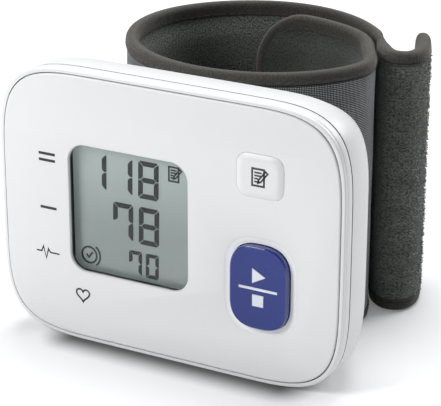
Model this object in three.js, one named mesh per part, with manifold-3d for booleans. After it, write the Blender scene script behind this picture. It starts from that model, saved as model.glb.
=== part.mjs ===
// Wrist blood pressure monitor, millimetres, +Z up, face towards -Y.
// The origin is the middle of the flat underside that the case stands on.
import * as THREE from "three";
import { mergeVertices } from "three/addons/utils/BufferGeometryUtils.js";
import Module from "manifold-3d";

const wasm = await Module();
wasm.setup();

// Clearances
const GAP = 0.3; // between two pieces that touch in the real object
const OVERRUN = 2; // how far a cutting shape runs past what it cuts
const ROUND_SHARE = 0.3; // where a rounded edge's middle point lies

// Case outline: straight sides with wide, squarish corners
const CASE_WIDTH = 84;
const CASE_HEIGHT = 63;
const CORNER_REACH = 26;
const CORNER_EXPONENT_SHARE = 4;
const CORNER_STEPS = 7;
const RIM_FRONT = 7.2; // front edge of the rim, forward of the case middle
const RIM_ROUND = 0.35;
const SEAM_FRONT = 3.75; // parting line, forward of the case middle
const SHOULDER_BACK = 3.75; // where the straight side ends, behind the middle
const CASE_WALL = 1.8;
const SIDE_DRAFT = 0.2;
const TOP_DRAFT = 0.5;

// Back of the case: how far each section lies back and how much it draws in
const HORN_SHARE = 0.3931; // how far the two horns that hold the roll reach along its half depth
const BACK_SECTIONS = [
  { backShare: 0.09, sideShare: 0.04, topShare: 0.09, bottomShare: 0.04, cornerShare: 0.97 },
  { backShare: 0.2, sideShare: 0.13, topShare: 0.19, bottomShare: 0.12, cornerShare: 0.92 },
  { backShare: 0.45, sideShare: 0.37, topShare: 0.43, bottomShare: 0.33, cornerShare: 0.8 },
  { backShare: 0.75, sideShare: 0.66, topShare: 0.72, bottomShare: 0.52, cornerShare: 0.72 },
  { backShare: 0.94, sideShare: 0.84, topShare: 0.88, bottomShare: 0.76, cornerShare: 0.68 },
  { backShare: 1, sideShare: 1, topShare: 1, bottomShare: 1, cornerShare: 0.64 },
];
const BACK_SIDE_DRAW = 9;
const BACK_TOP_DRAW = 8;
const BACK_BOTTOM_DRAW = 6.5;
const BATTERY_SIDE_REACH = 7; // squarer corners behind the batteries

// Face plate, window and display
const PLATE_FRONT = 7.5;
const PLATE_THICKNESS = 1.2;
const PLATE_INSET = 0.95; // from the rim's outline to the line around the plate
const PLATE_EDGE = 0.3; // chamfer
const LEDGE_THICKNESS = 1;
const WINDOW_SIDE = 17.85; // from the case's left side
const WINDOW_TO_START = 10.7; // between the window and the start/stop button
const WINDOW_HEIGHT = 29.5;
const WINDOW_RADIUS = 4;
const WINDOW_UP = 0.2; // above the middle of the case
const LENS_BORDER = 0.8;
const LENS_THICKNESS = 0.8;
const GLASS_BORDER = 0.5;
const GLASS_THICKNESS = 2;
const FRAME_WALL = 1.4;
const ZEBRA_DEPTH = 2.6;
const ZEBRA_INSET = 1.2;

// Start/stop button and memory button
const START_WIDTH = 13.7;
const START_HEIGHT_SHARE = 0.3; // of the case's height
const START_SIDE = 19.1; // its middle, from the case's right side
const START_BELOW_SHARE = 0.142857; // below the middle, of the case's height
const START_PROUD = 1.1;
const START_REACH = 6.6;
const DISH_BORDER = 1.5;
const DISH_DEPTH = 0.45;
const MEMORY_WIDTH = 11;
const MEMORY_HEIGHT_SHARE = 0.15238;
const MEMORY_SIDE = 19.35;
const MEMORY_ABOVE_SHARE = 0.25;
const MEMORY_PROUD = 0.6;
const MEMORY_REACH = 3.2;
const BUTTON_EXPONENT_SHARE = 2.6;
const BUTTON_STEPS = 6;
const BUTTON_TRAVEL = 0.5;
const BUTTON_FLANGE = 0.9;
const FLANGE_THICKNESS = 0.8;
const BUTTON_ROUND = 0.55;
const STEM_RADIUS = 2.2;

// Circuit board and what it carries in front
const BOARD_FRONT = 0; // front face of the board, from the middle of the case
const BOARD_THICKNESS = 1.6;
const BOARD_LEFT_SIDE = 15.5; // from the case's left side
const BOARD_RIGHT_SIDE = 5;
const BOARD_EDGE = 9.5; // from the case's top and bottom
const SWITCH_SIZE = 6;
const SWITCH_THICKNESS = 1.9;
const SWITCH_POCKET = 1.45;
const PLUNGER_RADIUS = 1.7;
const PLUNGER_LENGTH = 1.65;

// Air system behind the board
const PUMP_SIDE = 17.5; // from the case's right side
const PUMP_Y = 8.3;
const MOTOR_RADIUS = 5.5;
const MOTOR_TOP = 17.2; // from the case's top
const HEAD_RADIUS = 6;
const HEAD_LENGTH = 11;
const HEAD_BOTTOM = 12.5;
const NOZZLE_RADIUS = 1.5;
const NOZZLE_LENGTH = 2.6;
const CRADLE_RIB = 1.6;
const MANIFOLD_TO_PUMP = 14.5;
const MANIFOLD_WIDTH = 9;
const MANIFOLD_BOTTOM = 15;
const MANIFOLD_HEIGHT = 20;
const MANIFOLD_THICKNESS = 3.6;
const AIR_LINE_UP = 18; // height of the pump's outlet
const AIR_TUBE_RADIUS = 1.9;
const AIR_TUBE_BORE = 0.8;
const VALVE_RADIUS = 2.4;
const VALVE_LENGTH = 6.8;
const VALVE_UP = 29;
const SENSOR_SIZE = 7;
const SENSOR_THICKNESS = 3.4;
const SENSOR_UP = 27.5;
const SENSOR_PORT_RADIUS = 0.9;
const NIPPLE_RADIUS = 1.8;
const NIPPLE_BORE = 0.9;
const BUZZER_RADIUS = 4.5;
const BUZZER_THICKNESS = 3;
const BUZZER_SIDE_SHARE = 0.4238; // of the case's half width
const BUZZER_ABOVE = 5;

// Batteries in the left end of the case
const BATTERY_RADIUS_SHARE = 0.255; // of the depth behind the case's middle
const BATTERY_TOP_EDGE = 9.7; // from the case's top to the end of the nub
const BATTERY_NUB_RADIUS = 1.9;
const BATTERY_NUB = 0.8;
const BATTERY_BOTTOM = 8.8;
const BATTERY_FRONT_SIDE = 3.8; // between it and the case's left side
const BATTERY_FRONT_EDGE = 4.2; // how far its front lies ahead of the case's middle
const BATTERY_REAR_SIDE = 7.9;
const BATTERY_REAR_SHARE = 0.565; // of the depth behind the case's middle
const CONTACT_SIZE = 5.4;
const CONTACT_THICKNESS = 0.4;
const SPRING_WIRE = 0.25;
const SPRING_TURNS = 3;
const SPRING_BASE_RADIUS = 2.4;
const SPRING_TOP_RADIUS = 1.5;
const SPRING_LENGTH = 2;
const TRAY_WALL = 1.3;
const COVER_BOTTOM = 5;
const COVER_TOP_EDGE = 6;
const COVER_WALL = 1.6;
const COVER_DEPTH_SHARE = 0.85; // back edge of the cover, of the depth behind the middle
const COVER_REACH = 11; // how far in its edges lie, from the side

// Screws
const SCREW_RADIUS = 1;
const SCREW_HEAD_RADIUS = 1.9;
const SCREW_HEAD = 1.2;
const BOSS_RADIUS = 2.8;
const CASE_SCREW_LEFT_SIDE = 20.5; // from the case's left side
const CASE_SCREW_RIGHT_SIDE = 12.5;
const CASE_SCREW_EDGE = 6.3; // from the case's top and bottom
const CASE_SCREW_SEAT = 6.6; // where the head bears, behind the middle
const CASE_SCREW_LENGTH = 9.4;
const BOARD_SCREW_TO_MEMORY = 11.25;
const BOARD_SCREW_EDGE = 2.9; // from the board's top
const BOARD_SCREW_SIDE = 7.8; // from the case's right side
const BOARD_SCREW_BELOW = 5.5;
const BOARD_SCREW_LENGTH = 4.6;
const CUFF_SCREW_SHARE = 0.36; // on each side of the roll's middle, of its half width
const CUFF_SCREW_SPREAD = 11.5; // above and below the middle
const CUFF_SCREW_SEAT = 5.4; // where the heads bear, behind the middle
const CUFF_SCREW_LENGTH = 3.6;
const CUFF_SCREW_HEAD_RADIUS = 2.9;
const CUFF_PAD_RADIUS = 3.2;
const CUFF_POST_RADIUS = 1.9;

// Cuff: one strip rolled from its inner end, clockwise, and round to its pull tail
const CUFF_X = -0.5;
const CUFF_FRONT = 8.6; // front of the roll, behind the case's middle
const CUFF_SIDE = 10.7; // between the roll's half width and the case's
const CUFF_HALF_DEPTH = 29;
const CUFF_HEIGHT = 62.4;
const CUFF_THICKNESS = 4;
const FABRIC_THICKNESS = 0.8;
const CURLER_THICKNESS = 0.9;
const BLADDER_THICKNESS = 0.9;
const LAYER_GAP = 0.2;
const BINDING_HEIGHT = 3.8;
const BINDING_PROUD = 0.2; // how much thicker than the strip on each side
const BINDING_ROUND = 1.5;
const FLAP_INSET = 8.2; // inner end of the strip, inside the outer layer
const LOOP_LOOSE = 0.9; // the back left of the loop stands out
const LOOP_PRESSED = 2.4; // the back right of the loop is drawn in
const STRIP_START_DEG = 118;
const STRIP_LEAVE_DEG = -320;
const FLAP_EASE_FROM_DEG = 34;
const FLAP_EASE_TO_DEG = -18;
const LOOSE_FROM_DEG = -150;
const LOOSE_TO_DEG = -210;
const PRESS_FROM_DEG = -250;
const PRESS_TO_DEG = -322;
const STRIP_RUN = 6.5; // straight stretch before the pull tail
const FLAP_CORNER = 13; // corner radius of the inner end
const CORNER_TURNS = 6;
const CUFF_STEPS = 60;
const CURLER_START_DEG = 30;
const CURLER_END_DEG = -270;
const BLADDER_START_DEG = -10;
const BLADDER_END_DEG = -225;
const BLADDER_MARGIN = 5;
const CURLER_MARGIN = 3;

// Pull tail: swings out of the loop, turns back on itself and ends in a rounded tip
const TAIL_THICKNESS = 3.3;
const TAIL_STEPS = 22;
const TAIL_REACH = 12.4; // how far back its tip lies behind its root
const TAIL_POINTS = [
  { xShare: 0.024, yShare: -0.227 },
  { xShare: 0.198, yShare: -0.582 },
  { xShare: 0.407, yShare: -0.703 },
  { xShare: 0.641, yShare: -0.623 },
  { xShare: 0.721, yShare: -0.323 },
  { xShare: 0.593, yShare: 0.119 },
  { xShare: 0.375, yShare: 0.619 },
  { xShare: 0.173, yShare: 0.999 },
];
const TAIL_TIP_RADIUS = 7;

// Sizes worked out from the ones above
const LAST_CORNER = BACK_SECTIONS.at(-1).cornerShare;
const HALF_WIDTH = CASE_WIDTH / 2;
const CUFF_Y = CUFF_FRONT + CUFF_HALF_DEPTH;
const BACK_REACH = CUFF_FRONT + CUFF_HALF_DEPTH * HORN_SHARE;
const MIDDLE = CASE_HEIGHT / 2; // height of the case's middle over the surface it stands on
const PLATE_BACK = -PLATE_FRONT + PLATE_THICKNESS;
const LEDGE_FRONT = PLATE_BACK + GAP;
const LEDGE_BACK = LEDGE_FRONT + LEDGE_THICKNESS;
const LENS_FRONT = PLATE_BACK + GAP;
const LENS_BACK = LENS_FRONT + LENS_THICKNESS;
const GLASS_FRONT = LENS_BACK + GAP;
const GLASS_BACK = GLASS_FRONT + GLASS_THICKNESS;
const START_X = HALF_WIDTH - START_SIDE;
const START_HEIGHT = CASE_HEIGHT * START_HEIGHT_SHARE;
const START_Z = MIDDLE - CASE_HEIGHT * START_BELOW_SHARE;
const MEMORY_X = HALF_WIDTH - MEMORY_SIDE;
const MEMORY_HEIGHT = CASE_HEIGHT * MEMORY_HEIGHT_SHARE;
const MEMORY_Z = MIDDLE + CASE_HEIGHT * MEMORY_ABOVE_SHARE;
const WINDOW_LEFT = -HALF_WIDTH + WINDOW_SIDE;
const WINDOW_RIGHT = START_X - START_WIDTH / 2 - WINDOW_TO_START;
const WINDOW_X = (WINDOW_LEFT + WINDOW_RIGHT) / 2;
const WINDOW_WIDTH = WINDOW_RIGHT - WINDOW_LEFT;
const WINDOW_Z = MIDDLE + WINDOW_UP;
const FRAME_INNER = GLASS_BORDER + GAP;
const FRAME_OUTER = FRAME_INNER + FRAME_WALL;
const BOARD_BACK = BOARD_FRONT + BOARD_THICKNESS;
const SWITCH_BACK = BOARD_FRONT - GAP;
const SWITCH_FRONT = SWITCH_BACK - SWITCH_THICKNESS;
const PLUNGER_BACK = SWITCH_FRONT + SWITCH_POCKET - BUTTON_TRAVEL - GAP;
const PLUNGER_FRONT = PLUNGER_BACK - PLUNGER_LENGTH;
const FLANGE_FRONT = LEDGE_BACK + GAP;
const FLANGE_BACK = FLANGE_FRONT + FLANGE_THICKNESS;
const SKIRT_BACK = -SEAM_FRONT - GAP / 2 + LEDGE_THICKNESS;
const BEHIND_BOARD = BOARD_BACK + GAP;
const CUFF_CLEARANCE = GAP + BINDING_PROUD;
const INNER_SADDLE = CUFF_CLEARANCE + CASE_WALL;
const MANIFOLD_BACK = BEHIND_BOARD + MANIFOLD_THICKNESS;
const MANIFOLD_Y = BEHIND_BOARD + MANIFOLD_THICKNESS / 2;
const PUMP_X = HALF_WIDTH - PUMP_SIDE;
const MOTOR_BOTTOM = HEAD_BOTTOM + HEAD_LENGTH + GAP;
const MOTOR_LENGTH = CASE_HEIGHT - MOTOR_TOP - MOTOR_BOTTOM;
const MANIFOLD_RIGHT = PUMP_X - MANIFOLD_TO_PUMP;
const MANIFOLD_LEFT = MANIFOLD_RIGHT - MANIFOLD_WIDTH;
const NIPPLE_X = (MANIFOLD_LEFT + MANIFOLD_RIGHT) / 2;
const NIPPLE_UP = MIDDLE;
const BUZZER_X = -HALF_WIDTH * BUZZER_SIDE_SHARE;
const BUZZER_UP = MIDDLE + BUZZER_ABOVE;
const BATTERY_RADIUS = BACK_REACH * BATTERY_RADIUS_SHARE;
const BATTERY_TOP = CASE_HEIGHT - BATTERY_TOP_EDGE;
const BATTERY_LENGTH = BATTERY_TOP - BATTERY_BOTTOM - BATTERY_NUB;
const BATTERY_SEATS = [
  { x: -HALF_WIDTH + BATTERY_FRONT_SIDE + BATTERY_RADIUS, y: BATTERY_RADIUS - BATTERY_FRONT_EDGE },
  { x: -HALF_WIDTH + BATTERY_REAR_SIDE + BATTERY_RADIUS, y: BACK_REACH * BATTERY_REAR_SHARE },
];
const COVER_TOP = CASE_HEIGHT - COVER_TOP_EDGE;
const COVER_DEPTH = BACK_REACH * COVER_DEPTH_SHARE;
const BOARD_LEFT = -HALF_WIDTH + BOARD_LEFT_SIDE;
const BOARD_RIGHT = HALF_WIDTH - BOARD_RIGHT_SIDE;
const BOARD_TOP = CASE_HEIGHT - BOARD_EDGE;
const BOARD_SCREWS = [
  { x: MEMORY_X - BOARD_SCREW_TO_MEMORY, up: BOARD_TOP - BOARD_SCREW_EDGE },
  { x: HALF_WIDTH - BOARD_SCREW_SIDE, up: MIDDLE - BOARD_SCREW_BELOW },
];
const CUFF_HALF_WIDTH = HALF_WIDTH - CUFF_SIDE;
const CUFF_SCREW_LEFT = CUFF_X - CUFF_HALF_WIDTH * CUFF_SCREW_SHARE;
const CUFF_SCREW_RIGHT = CUFF_X + CUFF_HALF_WIDTH * CUFF_SCREW_SHARE;
const CUFF_SCREWS = [
  { x: CUFF_SCREW_LEFT, up: MIDDLE - CUFF_SCREW_SPREAD },
  { x: CUFF_SCREW_LEFT, up: MIDDLE + CUFF_SCREW_SPREAD },
  { x: CUFF_SCREW_RIGHT, up: MIDDLE + CUFF_SCREW_SPREAD },
];
const CONTACT_TOP = BATTERY_TOP + GAP;
const SPRING_BOTTOM = BATTERY_BOTTOM - GAP - SPRING_LENGTH;
const CONTACT_BOTTOM = SPRING_BOTTOM - GAP - CONTACT_THICKNESS;
const CASE_SCREWS = [
  { name: "case_screw_top_left", x: -HALF_WIDTH + CASE_SCREW_LEFT_SIDE, z: CASE_HEIGHT - CASE_SCREW_EDGE },
  { name: "case_screw_bottom_left", x: -HALF_WIDTH + CASE_SCREW_LEFT_SIDE, z: CASE_SCREW_EDGE },
  { name: "case_screw_top_right", x: HALF_WIDTH - CASE_SCREW_RIGHT_SIDE, z: CASE_HEIGHT - CASE_SCREW_EDGE },
  { name: "case_screw_bottom_right", x: HALF_WIDTH - CASE_SCREW_RIGHT_SIDE, z: CASE_SCREW_EDGE },
];

// Closed mesh to solid and back
function solid(geometry) {
  const bare = geometry.clone();
  bare.deleteAttribute("normal");
  bare.deleteAttribute("uv");
  const merged = mergeVertices(bare, 1e-4);
  return new wasm.Manifold(
    new wasm.Mesh({
      numProp: 3,
      vertProperties: new Float32Array(merged.attributes.position.array),
      triVerts: new Uint32Array(merged.index.array),
    }),
  );
}

function geometryOf(body) {
  const mesh = body.getMesh();
  const corners = new Float32Array(mesh.numVert * 3);
  for (let i = 0; i < mesh.numVert; i++) {
    corners.set(mesh.vertProperties.subarray(i * mesh.numProp, i * mesh.numProp + 3), i * 3);
  }
  const geometry = new THREE.BufferGeometry();
  geometry.setAttribute("position", new THREE.BufferAttribute(corners, 3));
  geometry.setIndex(new THREE.BufferAttribute(mesh.triVerts, 1));
  const flat = geometry.toNonIndexed();
  flat.computeVertexNormals();
  return flat;
}

const joined = (bodies) => bodies.reduce((all, body) => all.add(body));
const cut = (body, tools) => tools.reduce((left, tool) => left.subtract(tool), body);

// Boxes and round bars given by their limits
function block(x0, x1, y0, y1, z0, z1) {
  const box = new THREE.BoxGeometry(x1 - x0, y1 - y0, z1 - z0);
  return solid(box.translate((x0 + x1) / 2, (y0 + y1) / 2, (z0 + z1) / 2));
}

function squareBlock(x, z, size, y0, y1) {
  return block(x - size / 2, x + size / 2, y0, y1, z - size / 2, z + size / 2);
}

function barAlongY(x, z, radius, y0, y1, sides = 20) {
  const bar = new THREE.CylinderGeometry(radius, radius, y1 - y0, sides);
  return solid(bar.translate(x, (y0 + y1) / 2, z));
}

function barAlongX(y, z, radius, x0, x1, sides = 16) {
  const bar = new THREE.CylinderGeometry(radius, radius, x1 - x0, sides);
  return solid(bar.rotateZ(Math.PI / 2).translate((x0 + x1) / 2, y, z));
}

function barAlongZ(x, y, radius, z0, z1, sides = 24) {
  const bar = new THREE.CylinderGeometry(radius, radius, z1 - z0, sides);
  return solid(bar.rotateX(Math.PI / 2).translate(x, y, (z0 + z1) / 2));
}

// Outline with squarish corners: each quarter has its own reach from the middle
function squarishOutline({ left, right, top, bottom, leftReach, rightReach, exponent, steps }) {
  const points = [];
  const quarters = [
    { side: right, rise: top, x: 1, z: 1, reach: rightReach },
    { side: left, rise: top, x: -1, z: 1, reach: leftReach },
    { side: left, rise: bottom, x: -1, z: -1, reach: leftReach },
    { side: right, rise: bottom, x: 1, z: -1, reach: rightReach },
  ];
  for (const { side, rise, x, z, reach } of quarters) {
    const quarter = [];
    for (let i = 0; i <= steps; i++) {
      const turn = (i / steps) * (Math.PI / 2);
      const across = side - reach + reach * Math.cos(turn) ** (2 / exponent);
      const up = rise - reach + reach * Math.sin(turn) ** (2 / exponent);
      quarter.push(new THREE.Vector2(x * across, z * up));
    }
    if (x * z < 0) quarter.reverse();
    points.push(...quarter);
  }
  return points;
}

function evenOutline(width, height, reach, exponent = BUTTON_EXPONENT_SHARE, steps = BUTTON_STEPS) {
  const side = width / 2;
  const rise = height / 2;
  return squarishOutline({
    left: side,
    right: side,
    top: rise,
    bottom: rise,
    leftReach: reach,
    rightReach: reach,
    exponent,
    steps,
  });
}

// Loft through sections that lie across Y: each has a depth, an outline and a middle
function loftAlongY(sections) {
  const count = sections[0].outline.length;
  const corners = [];
  for (const { y, outline, x = 0, z = MIDDLE } of sections) {
    for (const point of outline) corners.push(x + point.x, y, z + point.y);
  }
  const faces = [];
  for (let s = 0; s + 1 < sections.length; s++) {
    for (let i = 0; i < count; i++) {
      const a = s * count + i;
      const b = s * count + ((i + 1) % count);
      faces.push(a, b, b + count, a, b + count, a + count);
    }
  }
  const last = (sections.length - 1) * count;
  for (let i = 1; i + 1 < count; i++) {
    faces.push(0, i + 1, i);
    faces.push(last, last + i, last + i + 1);
  }
  return solid(closedMesh(corners, faces));
}

// A closed mesh whose faces point out, whichever way its rings were wound
function closedMesh(corners, faces) {
  let volume = 0;
  const at = (i) => new THREE.Vector3().fromArray(corners, i * 3);
  for (let i = 0; i < faces.length; i += 3) {
    volume += at(faces[i]).dot(at(faces[i + 1]).cross(at(faces[i + 2])));
  }
  const wound = volume < 0 ? [...faces].reverse() : faces;
  const geometry = new THREE.BufferGeometry();
  geometry.setAttribute("position", new THREE.Float32BufferAttribute(corners, 3));
  geometry.setIndex(wound);
  return geometry;
}

function prismAlongY(outline, x, z, y0, y1) {
  return loftAlongY([
    { y: y0, outline, x, z },
    { y: y1, outline, x, z },
  ]);
}

// The case: outline at a given draw-in from the full size
function caseOutline({ side = 0, top = 0, bottom = 0, reachShare = 1, wall = 0 }) {
  const reach = Math.max(CORNER_REACH * reachShare - wall, CASE_WALL);
  const leftReach = Math.max(
    THREE.MathUtils.lerp(BATTERY_SIDE_REACH, CORNER_REACH, (reachShare - LAST_CORNER) / (1 - LAST_CORNER)) - wall,
    CASE_WALL,
  );
  return squarishOutline({
    left: HALF_WIDTH - side - wall,
    right: HALF_WIDTH - side - wall,
    top: MIDDLE - top - wall,
    bottom: MIDDLE - bottom - wall,
    leftReach,
    rightReach: reach,
    exponent: CORNER_EXPONENT_SHARE,
    steps: CORNER_STEPS,
  });
}

// Rear half of the case as a full body, drawn in by a wall all round and at the back
function rearBody(wall) {
  const straight = BACK_REACH - SHOULDER_BACK;
  const sections = [
    { y: -SEAM_FRONT + (wall ? -OVERRUN : GAP / 2), outline: caseOutline({ wall }) },
    { y: SHOULDER_BACK - wall / 2, outline: caseOutline({ side: SIDE_DRAFT, top: TOP_DRAFT, wall }) },
  ];
  for (const share of BACK_SECTIONS) {
    const outline = caseOutline({
      side: SIDE_DRAFT + BACK_SIDE_DRAW * share.sideShare,
      top: TOP_DRAFT + BACK_TOP_DRAW * share.topShare,
      bottom: BACK_BOTTOM_DRAW * share.bottomShare,
      reachShare: share.cornerShare,
      wall,
    });
    const drawn = straight - (wall ? wall / 2 : 0);
    sections.push({ y: SHOULDER_BACK - wall / 2 + drawn * share.backShare, outline });
  }
  return loftAlongY(sections);
}
// The cuff's outer face as an upright oval, grown by a clearance
function cuffOval(grow) {
  const sides = 72;
  const oval = new THREE.CylinderGeometry(1, 1, CASE_HEIGHT + 2 * OVERRUN, sides);
  oval.rotateX(Math.PI / 2);
  oval.scale(CUFF_HALF_WIDTH + grow, CUFF_HALF_DEPTH + grow, 1);
  return solid(oval.translate(CUFF_X, CUFF_Y, MIDDLE));
}

// Front of the case
function windowOpening(grow, y0, y1) {
  const outline = evenOutline(WINDOW_WIDTH + 2 * grow, WINDOW_HEIGHT + 2 * grow, WINDOW_RADIUS + grow, 2);
  return prismAlongY(outline, WINDOW_X, WINDOW_Z, y0, y1);
}

function windowBlock(grow, y0, y1) {
  const side = WINDOW_WIDTH / 2 + grow;
  const rise = WINDOW_HEIGHT / 2 + grow;
  return block(WINDOW_X - side, WINDOW_X + side, y0, y1, WINDOW_Z - rise, WINDOW_Z + rise);
}

const startOutline = (grow) => evenOutline(START_WIDTH + 2 * grow, START_HEIGHT + 2 * grow, START_REACH + grow);
const memoryOutline = (grow) => evenOutline(MEMORY_WIDTH + 2 * grow, MEMORY_HEIGHT + 2 * grow, MEMORY_REACH + grow);

function facePlate() {
  const plate = loftAlongY([
    { y: -PLATE_FRONT, outline: caseOutline({ wall: PLATE_INSET + GAP / 2 + PLATE_EDGE }) },
    { y: -PLATE_FRONT + PLATE_EDGE, outline: caseOutline({ wall: PLATE_INSET + GAP / 2 }) },
    { y: PLATE_BACK, outline: caseOutline({ wall: PLATE_INSET + GAP / 2 }) },
  ]);
  const dish = loftAlongY([
    { y: -PLATE_FRONT - DISH_DEPTH, outline: startOutline(DISH_BORDER + DISH_DEPTH), x: START_X, z: START_Z },
    { y: -PLATE_FRONT + DISH_DEPTH, outline: startOutline(GAP), x: START_X, z: START_Z },
  ]);
  return cut(plate, [
    dish,
    windowOpening(0, -PLATE_FRONT - OVERRUN, PLATE_BACK + OVERRUN),
    prismAlongY(startOutline(GAP), START_X, START_Z, -PLATE_FRONT - OVERRUN, PLATE_BACK + OVERRUN),
    prismAlongY(memoryOutline(GAP), MEMORY_X, MEMORY_Z, -PLATE_FRONT - OVERRUN, PLATE_BACK + OVERRUN),
  ]);
}

// Rim, the ledge that the plate lies on, screw posts and a skirt that fits inside the rear case
function frontCase() {
  const back = -SEAM_FRONT - GAP / 2;
  const rim = loftAlongY([
    { y: -RIM_FRONT, outline: caseOutline({ wall: RIM_ROUND }) },
    { y: -RIM_FRONT + RIM_ROUND, outline: caseOutline({}) },
    { y: back, outline: caseOutline({}) },
  ]);
  const plateWell = prismAlongY(
    caseOutline({ wall: PLATE_INSET - GAP / 2 }), 0, MIDDLE, -RIM_FRONT - OVERRUN, LEDGE_FRONT,
  );
  const hollow = prismAlongY(caseOutline({ wall: CASE_WALL }), 0, MIDDLE, LEDGE_BACK, back + OVERRUN);
  const skirtWall = CASE_WALL + GAP;
  const skirt = prismAlongY(caseOutline({ wall: skirtWall }), 0, MIDDLE, LEDGE_BACK, SKIRT_BACK);
  const skirtHollow = prismAlongY(
    caseOutline({ wall: skirtWall + LEDGE_THICKNESS }), 0, MIDDLE, LEDGE_BACK, back + OVERRUN,
  );
  const skirtRoot = prismAlongY(caseOutline({ wall: CASE_WALL / 2 }), 0, MIDDLE, LEDGE_BACK - GAP, back - GAP);
  const shell = cut(rim, [plateWell, hollow]);
  const tongue = cut(joined([skirt, skirtRoot]), [skirtHollow]);
  const screwPosts = CASE_SCREWS.map(({ x, z }) => barAlongY(x, z, BOSS_RADIUS, LEDGE_FRONT, BOARD_FRONT));
  const boardPosts = BOARD_SCREWS.map(({ x, up }) =>
    barAlongY(x, up, BOSS_RADIUS - GAP, LEDGE_FRONT, BOARD_FRONT - GAP));
  const pilots = [
    ...CASE_SCREWS.map(({ x, z }) => barAlongY(x, z, SCREW_RADIUS + GAP, LEDGE_BACK, BOARD_FRONT + OVERRUN)),
    ...BOARD_SCREWS.map(({ x, up }) => barAlongY(x, up, SCREW_RADIUS + GAP, LEDGE_BACK, BOARD_FRONT + OVERRUN)),
  ];
  return cut(joined([shell, tongue, ...screwPosts, ...boardPosts]), [
    windowOpening(LENS_BORDER + GAP, LEDGE_FRONT - OVERRUN, LEDGE_BACK + OVERRUN),
    prismAlongY(startOutline(GAP), START_X, START_Z, LEDGE_FRONT - OVERRUN, LEDGE_BACK + OVERRUN),
    prismAlongY(memoryOutline(GAP), MEMORY_X, MEMORY_Z, LEDGE_FRONT - OVERRUN, LEDGE_BACK + OVERRUN),
    ...pilots,
  ]);
}

function button(outlineAt, x, z, proud) {
  const front = -PLATE_FRONT - proud;
  const cap = loftAlongY([
    { y: front, outline: outlineAt(-BUTTON_ROUND), x, z },
    { y: front + BUTTON_ROUND * ROUND_SHARE, outline: outlineAt(-BUTTON_ROUND * ROUND_SHARE), x, z },
    { y: front + BUTTON_ROUND, outline: outlineAt(0), x, z },
    { y: FLANGE_FRONT + FLANGE_THICKNESS / 2, outline: outlineAt(0), x, z },
  ]);
  const flange = prismAlongY(outlineAt(BUTTON_FLANGE), x, z, FLANGE_FRONT, FLANGE_BACK);
  const stem = barAlongY(x, z, STEM_RADIUS, FLANGE_FRONT, PLUNGER_FRONT - GAP);
  return joined([cap, flange, stem]);
}

// Display
const displayLens = () => windowOpening(LENS_BORDER, LENS_FRONT, LENS_BACK);
const displayGlass = () => windowBlock(GLASS_BORDER, GLASS_FRONT, GLASS_BACK);

function displayFrame() {
  const front = LEDGE_BACK + GAP;
  return cut(windowBlock(FRAME_OUTER, front, SWITCH_BACK), [
    windowBlock(FRAME_INNER, front - OVERRUN, SWITCH_BACK + OVERRUN),
  ]);
}

function zebraStrip(side) {
  const outer = WINDOW_Z + side * (WINDOW_HEIGHT / 2 + GLASS_BORDER - ZEBRA_INSET);
  const inner = outer - side * ZEBRA_DEPTH;
  const half = WINDOW_WIDTH / 2 + GLASS_BORDER - ZEBRA_INSET;
  return block(
    WINDOW_X - half, WINDOW_X + half, GLASS_BACK + GAP, SWITCH_BACK, Math.min(inner, outer), Math.max(inner, outer),
  );
}

function circuitBoard() {
  const board = block(BOARD_LEFT, BOARD_RIGHT, BOARD_FRONT, BOARD_BACK, BOARD_EDGE, BOARD_TOP);
  return cut(board, BOARD_SCREWS.map(({ x, up }) =>
    barAlongY(x, up, SCREW_RADIUS + GAP, BOARD_FRONT - OVERRUN, BOARD_BACK + OVERRUN)));
}

function pushSwitch(x, z) {
  return cut(squareBlock(x, z, SWITCH_SIZE, SWITCH_FRONT, SWITCH_BACK), [
    barAlongY(x, z, PLUNGER_RADIUS + GAP, SWITCH_FRONT - OVERRUN, SWITCH_FRONT + SWITCH_POCKET),
  ]);
}

const plunger = (x, z) => barAlongY(x, z, PLUNGER_RADIUS, PLUNGER_FRONT, PLUNGER_BACK);

// A screw along Y: its head bears at the seat, and its shank runs on, forward or back
function screw(x, z, seat, length, forward = true, headRadius = SCREW_HEAD_RADIUS) {
  const way = forward ? -1 : 1;
  const reach = (from, to) => [Math.min(from, to), Math.max(from, to)];
  const head = barAlongY(x, z, headRadius, ...reach(seat, seat - way * SCREW_HEAD), 16);
  const shank = barAlongY(x, z, SCREW_RADIUS, ...reach(seat - (way * SCREW_HEAD) / 2, seat + way * length), 12);
  const drive = barAlongY(
    x, z, SCREW_RADIUS / 2, ...reach(seat - (way * SCREW_HEAD) / 2, seat - way * SCREW_HEAD * 2), 6,
  );
  return cut(head.add(shank), [drive]);
}

// Air system
const pumpMotor = () =>
  barAlongZ(PUMP_X, PUMP_Y, MOTOR_RADIUS, MOTOR_BOTTOM, MOTOR_BOTTOM + MOTOR_LENGTH);

function pumpHead() {
  const body = barAlongZ(PUMP_X, PUMP_Y, HEAD_RADIUS, HEAD_BOTTOM, HEAD_BOTTOM + HEAD_LENGTH);
  const nozzle = barAlongX(
    MANIFOLD_Y, AIR_LINE_UP, NOZZLE_RADIUS, PUMP_X - HEAD_RADIUS - NOZZLE_LENGTH, PUMP_X,
  );
  return body.add(nozzle);
}

function airTube() {
  const from = MANIFOLD_RIGHT + GAP;
  const to = PUMP_X - HEAD_RADIUS - NOZZLE_LENGTH - GAP;
  return cut(barAlongX(MANIFOLD_Y, AIR_LINE_UP, AIR_TUBE_RADIUS, from, to), [
    barAlongX(MANIFOLD_Y, AIR_LINE_UP, AIR_TUBE_BORE, from - OVERRUN, to + OVERRUN, 10),
  ]);
}

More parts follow.
